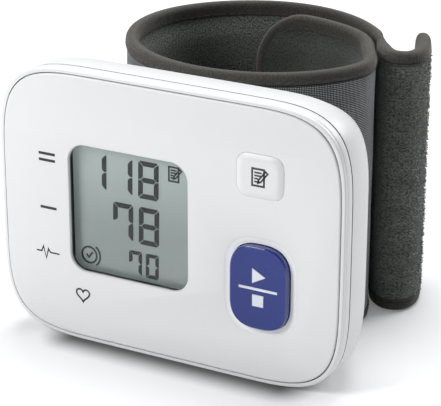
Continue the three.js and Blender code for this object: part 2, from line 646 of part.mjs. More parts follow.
function airManifold() {
  const body = block(
    MANIFOLD_LEFT, MANIFOLD_RIGHT, BEHIND_BOARD, MANIFOLD_BACK, MANIFOLD_BOTTOM, MANIFOLD_BOTTOM + MANIFOLD_HEIGHT,
  );
  const deep = (MANIFOLD_RIGHT - MANIFOLD_LEFT) / 3;
  return cut(body, [
    barAlongX(MANIFOLD_Y, AIR_LINE_UP, AIR_TUBE_BORE, MANIFOLD_RIGHT - deep, MANIFOLD_RIGHT + OVERRUN, 10),
    barAlongX(MANIFOLD_Y, SENSOR_UP, SENSOR_PORT_RADIUS + GAP, MANIFOLD_LEFT - OVERRUN, MANIFOLD_LEFT + deep, 12),
    barAlongY(NIPPLE_X, NIPPLE_UP, NIPPLE_BORE, MANIFOLD_Y, MANIFOLD_BACK + OVERRUN, 12),
  ]);
}

const exhaustValve = () =>
  barAlongX(MANIFOLD_Y + GAP, VALVE_UP, VALVE_RADIUS, MANIFOLD_RIGHT + GAP, MANIFOLD_RIGHT + GAP + VALVE_LENGTH);

function pressureSensor() {
  const right = MANIFOLD_LEFT - GAP;
  const low = SENSOR_UP - SENSOR_SIZE / 2;
  const body = block(
    right - SENSOR_SIZE, right, BEHIND_BOARD, BEHIND_BOARD + SENSOR_THICKNESS, low, low + SENSOR_SIZE,
  );
  const deep = (MANIFOLD_RIGHT - MANIFOLD_LEFT) / 3;
  const port = barAlongX(
    MANIFOLD_Y, SENSOR_UP, SENSOR_PORT_RADIUS, right - SENSOR_SIZE / 2, MANIFOLD_LEFT + deep - GAP, 12,
  );
  return body.add(port);
}

// How far behind the case's middle the cuff's outer face lies at a place across
const cuffFaceAt = (x) => CUFF_Y - CUFF_HALF_DEPTH * Math.sqrt(1 - ((x - CUFF_X) / CUFF_HALF_WIDTH) ** 2);
const toBladder = FABRIC_THICKNESS + CURLER_THICKNESS + 2 * LAYER_GAP;

function airNipple() {
  const end = cuffFaceAt(NIPPLE_X) + toBladder - GAP;
  return cut(barAlongY(NIPPLE_X, NIPPLE_UP, NIPPLE_RADIUS, MANIFOLD_BACK + GAP, end, 16), [
    barAlongY(NIPPLE_X, NIPPLE_UP, NIPPLE_BORE, MANIFOLD_BACK, end + OVERRUN, 12),
  ]);
}

const buzzer = () => barAlongY(BUZZER_X, BUZZER_UP, BUZZER_RADIUS, BEHIND_BOARD, BEHIND_BOARD + BUZZER_THICKNESS);

// Batteries, their contacts and coil springs

function battery({ x, y }, up) {
  const low = BATTERY_BOTTOM + (up ? 0 : BATTERY_NUB);
  const body = barAlongZ(x, y, BATTERY_RADIUS, low, low + BATTERY_LENGTH);
  const nub = barAlongZ(x, y, BATTERY_NUB_RADIUS, BATTERY_BOTTOM, BATTERY_TOP, 14);
  const shown = up
    ? block(x - BATTERY_RADIUS, x + BATTERY_RADIUS, y - BATTERY_RADIUS, y + BATTERY_RADIUS, low, BATTERY_TOP)
    : block(x - BATTERY_RADIUS, x + BATTERY_RADIUS, y - BATTERY_RADIUS, y + BATTERY_RADIUS, BATTERY_BOTTOM, low + BATTERY_LENGTH);
  return body.add(nub.intersect(shown));
}

function contact({ x, y }, low) {
  const half = CONTACT_SIZE / 2;
  return block(x - half, x + half, y - half, y + half, low, low + CONTACT_THICKNESS);
}

// Cone-shaped coil as one unbroken round wire
class CoilCurve extends THREE.Curve {
  getPoint(share, target = new THREE.Vector3()) {
    const turn = share * SPRING_TURNS * 2 * Math.PI;
    const radius = THREE.MathUtils.lerp(SPRING_BASE_RADIUS, SPRING_TOP_RADIUS, share);
    const rise = SPRING_WIRE + share * (SPRING_LENGTH - 2 * SPRING_WIRE);
    return target.set(radius * Math.cos(turn), radius * Math.sin(turn), rise);
  }
}

function coilSpring({ x, y }) {
  const wire = new THREE.Shape(new THREE.EllipseCurve(0, 0, SPRING_WIRE, SPRING_WIRE).getPoints(5).slice(0, -1));
  const coil = new THREE.ExtrudeGeometry(wire, {
    steps: SPRING_TURNS * 10,
    extrudePath: new CoilCurve(),
    bevelEnabled: false,
  });
  return solid(coil.translate(x, y, SPRING_BOTTOM));
}

// Rear case: side wall, two horns with a saddle for the cuff, posts, battery tray and pump cradle

function coverRegion(grow) {
  return block(
    -HALF_WIDTH - OVERRUN, -HALF_WIDTH + COVER_REACH + grow, -SEAM_FRONT + GAP / 2 - grow - OVERRUN * (grow ? 1 : 0),
    COVER_DEPTH + grow, COVER_BOTTOM - grow, COVER_TOP + grow,
  );
}

function batteryTray(outer) {
  const frontTray = block(
    -HALF_WIDTH, BOARD_LEFT - GAP, SKIRT_BACK + GAP, BATTERY_SEATS[0].y + BATTERY_RADIUS, COVER_BOTTOM, COVER_TOP,
  );
  const backTray = block(
    -HALF_WIDTH, BATTERY_SEATS[1].x + BATTERY_RADIUS + TRAY_WALL, BATTERY_SEATS[0].y + BATTERY_RADIUS,
    BACK_REACH, COVER_BOTTOM, COVER_TOP,
  );
  const room = BATTERY_RADIUS + GAP;
  const bays = BATTERY_SEATS.flatMap(({ x, y }) => {
    const low = CONTACT_BOTTOM - GAP;
    const high = CONTACT_TOP + CONTACT_THICKNESS + GAP;
    return [barAlongZ(x, y, room, low, high), block(-HALF_WIDTH - OVERRUN, x, y - room, y + room, low, high)];
  });
  return cut(joined([frontTray, backTray]).intersect(outer), bays);
}

function rearCase() {
  const outer = cut(rearBody(0), [cuffOval(CUFF_CLEARANCE)]);
  const inside = cut(rearBody(CASE_WALL), [cuffOval(INNER_SADDLE)]);
  const screwPosts = CASE_SCREWS.map(({ x, z }) =>
    barAlongY(x, z, BOSS_RADIUS, BOARD_FRONT + GAP, BACK_REACH).intersect(outer));
  const cuffPads = CUFF_SCREWS.map(({ x, up }) =>
    barAlongY(x, up, CUFF_PAD_RADIUS, CUFF_SCREW_SEAT, BACK_REACH).intersect(outer));
  const ribs = [AIR_LINE_UP - CRADLE_RIB, HEAD_BOTTOM + HEAD_LENGTH + MOTOR_LENGTH / 2].map((z) =>
    block(PUMP_X - HEAD_RADIUS / 2, HALF_WIDTH, PUMP_Y - HEAD_RADIUS / 2, BACK_REACH, z - CRADLE_RIB / 2, z + CRADLE_RIB / 2)
      .intersect(outer));
  const pumpRoom = barAlongZ(PUMP_X, PUMP_Y, HEAD_RADIUS + GAP, HEAD_BOTTOM - GAP, HEAD_BOTTOM + HEAD_LENGTH + GAP / 2);
  const motorRoom = barAlongZ(PUMP_X, PUMP_Y, MOTOR_RADIUS + GAP, HEAD_BOTTOM, MOTOR_BOTTOM + MOTOR_LENGTH + GAP);
  const screwHoles = CASE_SCREWS.flatMap(({ x, z }) => [
    barAlongY(x, z, SCREW_RADIUS + GAP, -OVERRUN, BACK_REACH, 12),
    barAlongY(x, z, SCREW_HEAD_RADIUS + GAP, CASE_SCREW_SEAT - GAP, BACK_REACH, 16),
  ]);
  const cuffHoles = CUFF_SCREWS.map(({ x, up }) => barAlongY(x, up, CUFF_POST_RADIUS + GAP, BOARD_BACK, BACK_REACH, 16));
  const nippleHole = barAlongY(NIPPLE_X, NIPPLE_UP, NIPPLE_RADIUS + GAP, BOARD_BACK, BACK_REACH, 16);
  const shell = cut(outer, [inside]);
  const whole = joined([shell, batteryTray(outer), ...screwPosts, ...cuffPads, ...ribs]);
  return cut(whole, [pumpRoom, motorRoom, ...screwHoles, ...cuffHoles, nippleHole, coverRegion(GAP).subtract(
    rearBody(COVER_WALL + GAP))]);
}

// Cover over the batteries: the left end of the rear case's skin
function batteryCover() {
  const skin = cut(rearBody(0), [rearBody(COVER_WALL), cuffOval(CUFF_CLEARANCE)]);
  return skin.intersect(coverRegion(0));
}

// Plan of the rolled strip, seen from above: its outside face from the inner end to the pull tail
function insetAt(turnDeg) {
  const { smoothstep } = THREE.MathUtils;
  const flap = FLAP_INSET * smoothstep(turnDeg, FLAP_EASE_TO_DEG, FLAP_EASE_FROM_DEG);
  const loose = LOOP_LOOSE * smoothstep(-turnDeg, -LOOSE_FROM_DEG, -LOOSE_TO_DEG);
  const pressed = (LOOP_LOOSE + LOOP_PRESSED) * smoothstep(-turnDeg, -PRESS_FROM_DEG, -PRESS_TO_DEG);
  return flap - loose + pressed;
}

function ovalPoint(turnDeg) {
  const turn = THREE.MathUtils.degToRad(turnDeg);
  const inset = insetAt(turnDeg);
  const x = CUFF_X + (CUFF_HALF_WIDTH - inset) * Math.cos(turn);
  const y = CUFF_Y + (CUFF_HALF_DEPTH - inset) * Math.sin(turn);
  return new THREE.Vector2(x, y);
}

// A plan as a function of the length run along it: place, way along and way in
function planAlong(points) {
  const lengths = [0];
  for (let i = 1; i < points.length; i++) lengths.push(lengths[i - 1] + points[i].distanceTo(points[i - 1]));
  const ways = points.map((point, i) => {
    const before = points[Math.max(i - 1, 0)];
    const after = points[Math.min(i + 1, points.length - 1)];
    return after.clone().sub(before).normalize();
  });
  const total = lengths.at(-1);
  const at = (length) => {
    let i = 1;
    while (i < points.length - 1 && lengths[i] < length) i++;
    const share = THREE.MathUtils.clamp((length - lengths[i - 1]) / (lengths[i] - lengths[i - 1]), 0, 1);
    const place = points[i - 1].clone().lerp(points[i], share);
    const way = ways[i - 1].clone().lerp(ways[i], share).normalize();
    return { place, way, inward: new THREE.Vector2(way.y, -way.x) };
  };
  return { total, at, lengths };
}

const PLAN_STEPS = 2 * CUFF_STEPS;
const turnAt = (i) => THREE.MathUtils.lerp(STRIP_START_DEG, STRIP_LEAVE_DEG, i / PLAN_STEPS);
const loopPoints = Array.from({ length: PLAN_STEPS + 1 }, (_, i) => ovalPoint(turnAt(i)));
const leaveWay = loopPoints.at(-1).clone().sub(loopPoints.at(-2)).normalize();
loopPoints.push(loopPoints.at(-1).clone().addScaledVector(leaveWay, STRIP_RUN));
const strip = planAlong(loopPoints);
const lengthAtTurn = (turnDeg) => {
  const step = ((STRIP_START_DEG - turnDeg) / (STRIP_START_DEG - STRIP_LEAVE_DEG)) * PLAN_STEPS;
  return strip.lengths[Math.round(step)];
};

// Rings of points joined to one closed body: the same count in each, the first and last capped
function bodyOfRings(rings) {
  const count = rings[0].length;
  const corners = rings.flatMap((ring) => ring.flatMap((point) => point.toArray()));
  const faces = [];
  for (let r = 0; r + 1 < rings.length; r++) {
    for (let i = 0; i < count; i++) {
      const a = r * count + i;
      const b = r * count + ((i + 1) % count);
      faces.push(a, b, b + count, a, b + count, a + count);
    }
  }
  const last = (rings.length - 1) * count;
  for (let i = 1; i + 1 < count; i++) {
    faces.push(0, i + 1, i);
    faces.push(last, last + i, last + i + 1);
  }
  return solid(closedMesh(corners, faces));
}

// A layer of a strip between two lengths and two depths; lowAt and highAt give its edges
function layer(plan, { from, to, depth0, depth1, lowAt, highAt, steps, extra = [] }) {
  const stations = Array.from({ length: steps + 1 }, (_, i) => THREE.MathUtils.lerp(from, to, i / steps));
  const places = [...new Set([...stations, ...extra])].sort((a, b) => a - b);
  return bodyOfRings(places.map((length) => {
    const { place, inward } = plan.at(length);
    const point = (depth, z) => {
      const flat = place.clone().addScaledVector(inward, depth);
      return new THREE.Vector3(flat.x, flat.y, z);
    };
    const low = lowAt(length);
    const high = highAt(length);
    return [point(depth0, low), point(depth1, low), point(depth1, high), point(depth0, high)];
  }));
}

// How far up a strip's edge starts, a margin in from it, beside its rounded end at length zero
function edgeAt(length, corner, margin) {
  const radius = corner - margin;
  const across = corner - length;
  if (across <= 0) return margin;
  return corner - Math.sqrt(Math.max(radius ** 2 - across ** 2, 0));
}

// Tape folded over a strip's top edge, round its end and along its bottom edge, as one piece
function bindingTape(plan, { corner, depth0, depth1, steps }) {
  const height = CUFF_HEIGHT;
  const edge = [];
  for (let i = 0; i < steps; i++) {
    const length = THREE.MathUtils.lerp(plan.total, corner, i / steps);
    edge.push({ length, z: height, inLength: 0, inZ: -1 });
  }
  for (let i = 0; i <= CORNER_TURNS; i++) {
    const turn = (i / CORNER_TURNS) * (Math.PI / 2);
    const length = corner - corner * Math.sin(turn);
    edge.push({
      length,
      z: height - corner + corner * Math.cos(turn),
      inLength: Math.sin(turn),
      inZ: -Math.cos(turn),
    });
  }
  const lower = edge.map((station) => ({ ...station, z: height - station.z, inZ: -station.inZ })).reverse();
  const soft = BINDING_ROUND * ROUND_SHARE;
  const section = [
    [depth0, BINDING_HEIGHT],
    [depth0, BINDING_ROUND],
    [depth0 + soft, soft],
    [depth0 + BINDING_ROUND, 0],
    [depth1 - BINDING_ROUND, 0],
    [depth1 - soft, soft],
    [depth1, BINDING_ROUND],
    [depth1, BINDING_HEIGHT],
  ];
  return bodyOfRings([...edge, ...lower].map(({ length, z, inLength, inZ }) =>
    section.map(([depth, width]) => {
      const { place, inward } = plan.at(length + width * inLength);
      const flat = place.clone().addScaledVector(inward, depth);
      return new THREE.Vector3(flat.x, flat.y, z + width * inZ);
    })));
}

// Layers of the loop, from the outside in
const LAYER_MARGIN = BINDING_HEIGHT + GAP;
const CURLER_DEPTH = FABRIC_THICKNESS + LAYER_GAP;
const BLADDER_DEPTH = CURLER_DEPTH + CURLER_THICKNESS + LAYER_GAP;
const LINING_DEPTH = CUFF_THICKNESS - FABRIC_THICKNESS;

function clothLayer(depth) {
  const lowAt = (length) => edgeAt(length, FLAP_CORNER, LAYER_MARGIN);
  return layer(strip, {
    from: LAYER_MARGIN,
    to: strip.total,
    depth0: depth,
    depth1: depth + FABRIC_THICKNESS,
    lowAt,
    highAt: (length) => CUFF_HEIGHT - lowAt(length),
    steps: CUFF_STEPS,
    extra: [0.33, 0.66, 1].map((share) => LAYER_MARGIN + share * (FLAP_CORNER - LAYER_MARGIN)),
  });
}

function innerBand(depth, thickness, startDeg, endDeg, margin) {
  return layer(strip, {
    from: lengthAtTurn(startDeg),
    to: lengthAtTurn(endDeg),
    depth0: depth,
    depth1: depth + thickness,
    lowAt: () => LAYER_MARGIN + margin,
    highAt: () => CUFF_HEIGHT - LAYER_MARGIN - margin,
    steps: CUFF_STEPS,
  });
}

const cuffPassages = () => [
  ...CUFF_SCREWS.map(({ x, up }) => barAlongY(x, up, CUFF_POST_RADIUS + GAP, BOARD_BACK, BACK_REACH, 16)),
  barAlongY(NIPPLE_X, NIPPLE_UP, NIPPLE_RADIUS + GAP, BOARD_BACK, BACK_REACH, 16),
];

function curler() {
  const band = innerBand(CURLER_DEPTH, CURLER_THICKNESS, CURLER_START_DEG, CURLER_END_DEG, CURLER_MARGIN);
  const pierced = cut(band, [cuffPassages().at(-1)]);
  const posts = CUFF_SCREWS.map(({ x, up }) =>
    barAlongY(x, up, CUFF_POST_RADIUS, CUFF_SCREW_SEAT, cuffFaceAt(x) + CURLER_DEPTH + CURLER_THICKNESS / 2, 16));
  const pilots = CUFF_SCREWS.map(({ x, up }) =>
    barAlongY(x, up, SCREW_RADIUS + GAP, CUFF_SCREW_SEAT - OVERRUN, CUFF_SCREW_SEAT + CUFF_SCREW_LENGTH, 12));
  return cut(joined([pierced, ...posts]), pilots);
}

// Pull tail, from its tip back to where it leaves the loop
const leave = strip.at(strip.total);
const tailRoot = leave.place.clone()
  .addScaledVector(leave.way, GAP)
  .addScaledVector(leave.inward, TAIL_THICKNESS / 2);
const tailPoints = TAIL_POINTS.map(({ xShare, yShare }) =>
  new THREE.Vector2(leave.place.x + TAIL_REACH * xShare, leave.place.y + TAIL_REACH * yShare));
const tailCurve = new THREE.CatmullRomCurve3(
  [tailRoot, ...tailPoints].reverse().map(({ x, y }) => new THREE.Vector3(x, y, 0)),
);
const tailPlan = planAlong(tailCurve.getSpacedPoints(2 * TAIL_STEPS).map(({ x, y }) => new THREE.Vector2(x, y)));

function tailCloth() {
  const lowAt = (length) => edgeAt(length, TAIL_TIP_RADIUS, LAYER_MARGIN);
  return layer(tailPlan, {
    from: LAYER_MARGIN,
    to: tailPlan.total,
    depth0: -TAIL_THICKNESS / 2,
    depth1: TAIL_THICKNESS / 2,
    lowAt,
    highAt: (length) => CUFF_HEIGHT - lowAt(length),
    steps: TAIL_STEPS,
    extra: [0.5, 1].map((share) => LAYER_MARGIN + share * (TAIL_TIP_RADIUS - LAYER_MARGIN)),
  });
}

const tailBinding = () =>
  bindingTape(tailPlan, {
    corner: TAIL_TIP_RADIUS,
    depth0: -TAIL_THICKNESS / 2 - BINDING_PROUD,
    depth1: TAIL_THICKNESS / 2 + BINDING_PROUD,
    steps: TAIL_STEPS,
  });

const cuffBinding = () =>
  bindingTape(strip, {
    corner: FLAP_CORNER,
    depth0: -BINDING_PROUD,
    depth1: CUFF_THICKNESS + BINDING_PROUD,
    steps: CUFF_STEPS,
  });

// Finishes
const finish = (color, roughness, metalness = 0) => new THREE.MeshStandardMaterial({ color, roughness, metalness });
const WHITE_PLASTIC = finish(0xe9ebec, 0.42);
const WHITE_SIDE = finish(0xdfe2e3, 0.45);
const BLUE_PLASTIC = finish(0x2c3a7c, 0.35);
const CLEAR_PLASTIC = finish(0xb9c3c4, 0.08);
const DISPLAY_GREY = finish(0x97a29f, 0.3);
const DARK_PLASTIC = finish(0x2a2c2d, 0.6);
const RUBBER = finish(0xc9c7bf, 0.75);
const BOARD_GREEN = finish(0x1f5a35, 0.55);
const STEEL = finish(0xb8bcc0, 0.32, 1);
const BRASS = finish(0xc9a75a, 0.35, 1);
const BATTERY_WRAP = finish(0x3a3d40, 0.4, 0.3);
const CLOTH = finish(0x3a3f3b, 0.95);
const LINING_CLOTH = finish(0x2f3532, 0.97);
const BINDING_CLOTH = finish(0x57544f, 0.92);
const BLADDER_SKIN = finish(0x55504b, 0.6);
const BAND_PLASTIC = finish(0xd8d8d2, 0.5);

const monitor = new THREE.Group();
function add(name, body, material, parent = monitor) {
  const mesh = new THREE.Mesh(geometryOf(body), material.clone());
  mesh.name = name;
  parent.add(mesh);
}

const caseGroup = new THREE.Group();
const airGroup = new THREE.Group();
const powerGroup = new THREE.Group();
const cuffGroup = new THREE.Group();
monitor.add(caseGroup, airGroup, powerGroup, cuffGroup);

add("face_plate", facePlate(), WHITE_PLASTIC, caseGroup);
add("front_case", frontCase(), WHITE_SIDE, caseGroup);
add("rear_case", rearCase(), WHITE_SIDE, caseGroup);
add("battery_cover", batteryCover(), WHITE_SIDE, caseGroup);
add("start_stop_button", button(startOutline, START_X, START_Z, START_PROUD), BLUE_PLASTIC, caseGroup);
add("memory_button", button(memoryOutline, MEMORY_X, MEMORY_Z, MEMORY_PROUD), WHITE_PLASTIC, caseGroup);
add("display_lens", displayLens(), CLEAR_PLASTIC, caseGroup);
add("display_glass", displayGlass(), DISPLAY_GREY, caseGroup);
add("display_frame", displayFrame(), DARK_PLASTIC, caseGroup);
add("contact_strip_upper", zebraStrip(1), RUBBER, caseGroup);
add("contact_strip_lower", zebraStrip(-1), RUBBER, caseGroup);
add("circuit_board", circuitBoard(), BOARD_GREEN, caseGroup);
add("start_switch", pushSwitch(START_X, START_Z), DARK_PLASTIC, caseGroup);
add("start_switch_plunger", plunger(START_X, START_Z), RUBBER, caseGroup);
add("memory_switch", pushSwitch(MEMORY_X, MEMORY_Z), DARK_PLASTIC, caseGroup);
add("memory_switch_plunger", plunger(MEMORY_X, MEMORY_Z), RUBBER, caseGroup);
add("buzzer", buzzer(), DARK_PLASTIC, caseGroup);
for (const { name, x, z } of CASE_SCREWS) add(name, screw(x, z, CASE_SCREW_SEAT, CASE_SCREW_LENGTH), STEEL, caseGroup);
BOARD_SCREWS.forEach(({ x, up }, i) =>
  add("board_screw_" + (i + 1), screw(x, up, BEHIND_BOARD, BOARD_SCREW_LENGTH), STEEL, caseGroup));

add("pump_motor", pumpMotor(), STEEL, airGroup);
add("pump_head", pumpHead(), DARK_PLASTIC, airGroup);
add("air_tube", airTube(), RUBBER, airGroup);
add("air_manifold", airManifold(), DARK_PLASTIC, airGroup);
add("exhaust_valve", exhaustValve(), STEEL, airGroup);
add("pressure_sensor", pressureSensor(), DARK_PLASTIC, airGroup);
add("air_nipple", airNipple(), RUBBER, airGroup);

BATTERY_SEATS.forEach((seat, i) => {
  const up = i === 0;
  add("battery_" + (i + 1), battery(seat, up), BATTERY_WRAP, powerGroup);
  add("battery_contact_upper_" + (i + 1), contact(seat, CONTACT_TOP), STEEL, powerGroup);
  add("battery_contact_lower_" + (i + 1), contact(seat, CONTACT_BOTTOM), STEEL, powerGroup);
  add("battery_spring_" + (i + 1), coilSpring(seat), STEEL, powerGroup);
});

add("cuff_outer_cloth", cut(clothLayer(0), cuffPassages()), CLOTH, cuffGroup);
add("cuff_curler", curler(), BAND_PLASTIC, cuffGroup);
add("air_bladder", innerBand(BLADDER_DEPTH, BLADDER_THICKNESS, BLADDER_START_DEG, BLADDER_END_DEG, BLADDER_MARGIN),
  BLADDER_SKIN, cuffGroup);
add("cuff_lining", clothLayer(LINING_DEPTH), LINING_CLOTH, cuffGroup);
add("cuff_edge_binding", cuffBinding(), BINDING_CLOTH, cuffGroup);
add("pull_tail", tailCloth(), CLOTH, cuffGroup);
add("pull_tail_binding", tailBinding(), BINDING_CLOTH, cuffGroup);
CUFF_SCREWS.forEach(({ x, up }, i) =>
  add("cuff_screw_" + (i + 1),
    screw(x, up, CUFF_SCREW_SEAT - GAP, CUFF_SCREW_LENGTH, false, CUFF_SCREW_HEAD_RADIUS), STEEL, cuffGroup));

export default monitor;
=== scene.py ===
import math

import bmesh
import bpy
import numpy as np
from mathutils import Matrix, Vector


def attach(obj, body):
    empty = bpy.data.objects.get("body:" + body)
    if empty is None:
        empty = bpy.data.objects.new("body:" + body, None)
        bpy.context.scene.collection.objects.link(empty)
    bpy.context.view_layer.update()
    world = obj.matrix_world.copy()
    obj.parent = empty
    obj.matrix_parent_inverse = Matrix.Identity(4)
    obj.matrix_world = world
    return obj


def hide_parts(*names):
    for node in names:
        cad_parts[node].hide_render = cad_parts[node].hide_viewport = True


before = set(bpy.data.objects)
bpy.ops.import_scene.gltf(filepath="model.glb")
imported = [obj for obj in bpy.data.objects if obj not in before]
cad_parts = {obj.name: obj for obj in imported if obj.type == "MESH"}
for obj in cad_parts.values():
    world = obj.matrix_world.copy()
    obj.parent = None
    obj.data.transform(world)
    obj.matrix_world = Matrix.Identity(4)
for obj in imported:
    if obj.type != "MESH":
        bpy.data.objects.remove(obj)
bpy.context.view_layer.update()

bl_info = {
    "name": "Wrist blood pressure monitor",
    "version": (1, 0, 0),
    "blender": (4, 5, 0),
    "location": "3D View > Sidebar > Monitor",
    "description": "Wrist monitor: case, display, buttons, cuff and stage",
    "category": "Add Mesh",
}

MM = 0.001
BODY = "monitor"
SHARP = math.radians(32)
STRIP_MAP = "strip"


# Sizes and colours that a user would change
def size(name, default, description):
    return bpy.props.FloatProperty(
        name=name, description=description, default=default * MM, unit="LENGTH", precision=5, min=0)


def shift(name, default, description):
    return bpy.props.FloatProperty(
        name=name, description=description, default=default * MM, unit="LENGTH", precision=5)


def colour(name, default, description):
    return bpy.props.FloatVectorProperty(
        name=name, description=description, default=default, subtype="COLOR", size=3, min=0, max=1)


class MonitorCase(bpy.types.PropertyGroup):
    """Sizes of the case and the face"""
    width: size("Width", 84, "Case width")
    height: size("Height", 63, "Case height")
    corner_reach: size("Corner reach", 26, "How far the squarish corners reach")
    rim_front: size("Rim front", 7.2, "Front edge of the rim, forward of the middle")
    seam_front: size("Seam", 3.75, "Parting line, forward of the middle")
    shoulder_back: size("Shoulder", 3.75, "End of the straight side, behind the middle")
    back_reach: size("Back reach", 20, "Tips of the horns, behind the middle")
    side_draft: size("Side draft", 0.2, "Draw-in of the side at the shoulder")
    top_draft: size("Top draft", 0.5, "Draw-in of the top at the shoulder")
    side_draw: size("Side draw", 9, "Draw-in of the sides at the back")
    top_draw: size("Top draw", 8, "Draw-in of the top at the back")
    bottom_draw: size("Bottom draw", 6.5, "Draw-in of the bottom at the back")
    battery_reach: size("Battery corner", 7, "Corner reach behind the batteries")
    wall: size("Wall", 1.8, "Wall of the case")
    gap: size("Gap", 0.3, "Gap between pieces that touch")
    plate_front: size("Plate front", 7.5, "Front of the face plate")
    plate_thickness: size("Plate thickness", 1.2, "Thickness of the face plate")
    plate_inset: size("Plate inset", 0.95, "From the rim's outline to the plate's line")
    line_width: size("Plate line", 0.22, "Width of the fine line round the plate")
    window: size("Window", 29.5, "Width and height of the window")
    window_radius: size("Window radius", 4, "Corner radius of the window")
    window_x: shift("Window place", -9.4, "Window's middle, across")
    window_up: shift("Window rise", 0.2, "Window's middle over the case's middle")


class MonitorButtons(bpy.types.PropertyGroup):
    """Sizes of the two buttons"""
    start_width: size("Start width", 13.7, "Width of the start/stop button")
    start_height: size("Start height", 18.9, "Height of the start/stop button")
    start_x: shift("Start place", 22.9, "Start/stop button's middle, across")
    start_below: size("Start drop", 9, "Start/stop button's middle below the case's middle")
    start_proud: size("Start proud", 1.1, "How far the start/stop button stands out")
    start_reach: size("Start corner", 6.6, "Corner reach of the start/stop button")
    memory_width: size("Memory width", 11, "Width of the memory button")
    memory_height: size("Memory height", 9.6, "Height of the memory button")
    memory_x: shift("Memory place", 22.65, "Memory button's middle, across")
    memory_above: size("Memory rise", 15.75, "Memory button's middle above the case's middle")
    memory_proud: size("Memory proud", 0.6, "How far the memory button stands out")
    memory_reach: size("Memory corner", 3.2, "Corner reach of the memory button")
    dish: size("Dish", 1.5, "Width of the dished border round the start/stop button")
    dish_depth: size("Dish depth", 0.32, "Depth of that border")


class MonitorCuff(bpy.types.PropertyGroup):
    """Sizes of the rolled cuff"""
    x: shift("Place across", -0.5, "Middle of the roll, across")
    y: shift("Place back", 37.6, "Middle of the roll, behind the case's middle")
    half_width: size("Half width", 31.3, "Half of the roll across")
    half_depth: size("Half depth", 29, "Half of the roll front to back")
    height: size("Height", 62.4, "Width of the strip")
    thickness: size("Thickness", 4, "Thickness of the strip")
    cloth: size("Cloth", 0.8, "Thickness of one cloth layer")
    binding: size("Binding", 2.4, "Height of the edge tape outside")
    binding_inside: size("Binding inside", 3.4, "Height of the edge tape inside the roll")
    drawn: size("Drawn", 1.4, "How far the inner face is drawn in at the edge tape")
    proud: size("Binding proud", 0.2, "How much the tape stands out on each side")
    flap_inset: size("Flap inset", 8.2, "How far in the inner end lies")
    loose: size("Loose", 0.9, "How far the back left stands out")
    pressed: size("Pressed", 2.4, "How far the back right is drawn in")
    run: size("Run", 6.5, "Straight stretch before the pull tail")
    flap_corner: size("Flap corner", 13, "Corner radius of the inner end")
    thinned: bpy.props.FloatProperty(
        name="Thinned", description="Share of the thickness lost towards the pull tail", default=0.18, min=0,
        max=0.5)
    pinch: size("Pinch", 1.2, "How far the outer face is drawn in at the pull tail's root")
    tail_thickness: size("Tail thickness", 3.3, "Thickness of the pull tail")
    tail_binding: size("Tail binding", 3.1, "Height of the edge tape on the pull tail")
    tail_corner: size("Tail corner", 6.6, "Corner radius of the pull tail's tip")


class MonitorColours(bpy.types.PropertyGroup):
    """Colours of the finishes"""
    face: colour("Face", (0.775, 0.782, 0.79), "White moulding")
    blue: colour("Button", (0.005, 0.02, 0.185), "Start/stop button")
    display: colour("Display", (0.28, 0.322, 0.318), "Liquid crystal glass")
    segment: colour("Segments", (0.006, 0.007, 0.007), "Digits")
    print_grey: colour("Print", (0.022, 0.023, 0.025), "Printed signs")
    cloth: colour("Cloth", (0.014, 0.016, 0.015), "Cuff cloth")
    sheen: colour("Cloth threads", (0.60, 0.605, 0.615), "Light threads of the cuff cloth")
    lining: colour("Lining", (0.038, 0.041, 0.037), "Cuff lining")
    tape: colour("Edge tape", (0.048, 0.047, 0.042), "Binding tape")
    floor: colour("Floor", (0.84, 0.845, 0.85), "Floor and backdrop")


# Shader maths: a socket that can stand in a sum
class Value:
    """A number or colour socket in a node tree"""

    def __init__(self, shader, socket):
        self.shader = shader
        self.socket = socket

    def math(self, operation, *others, clamp=False):
        return self.shader.node(
            "Math", {"operation": operation, "use_clamp": clamp}, [self, *others])

    def __add__(self, other):
        return self.math("ADD", other)

    __radd__ = __add__

    def __sub__(self, other):
        return self.math("SUBTRACT", other)

    def __rsub__(self, other):
        return self.shader.node("Math", {"operation": "SUBTRACT"}, [other, self])

    def __mul__(self, other):
        return self.math("MULTIPLY", other)

    __rmul__ = __mul__

    def above(self, other):
        return self.math("GREATER_THAN", other)

    def most(self, other):
        return self.math("MAXIMUM", other)

    def sine(self):
        return self.math("SINE")

    def absolute(self):
        return self.math("ABSOLUTE")

    def clamped(self):
        return self.math("ADD", 0, clamp=True)

    def power(self, other):
        return self.math("POWER", other)

    def ramp(self, low, high):
        """0 below low, 1 above high and a soft step between"""
        return self.shader.node(
            "MapRange", {"interpolation_type": "SMOOTHSTEP"}, [self, low, high, 0.0, 1.0])


def opaque(value):
    """A colour of three parts with full cover added; anything else as it is"""
    return (*value[:3], 1) if isinstance(value, (tuple, list)) or hasattr(value, "r") else value


def times(tone, factor):
    """A colour made lighter or darker"""
    return tuple(factor * part for part in tone)


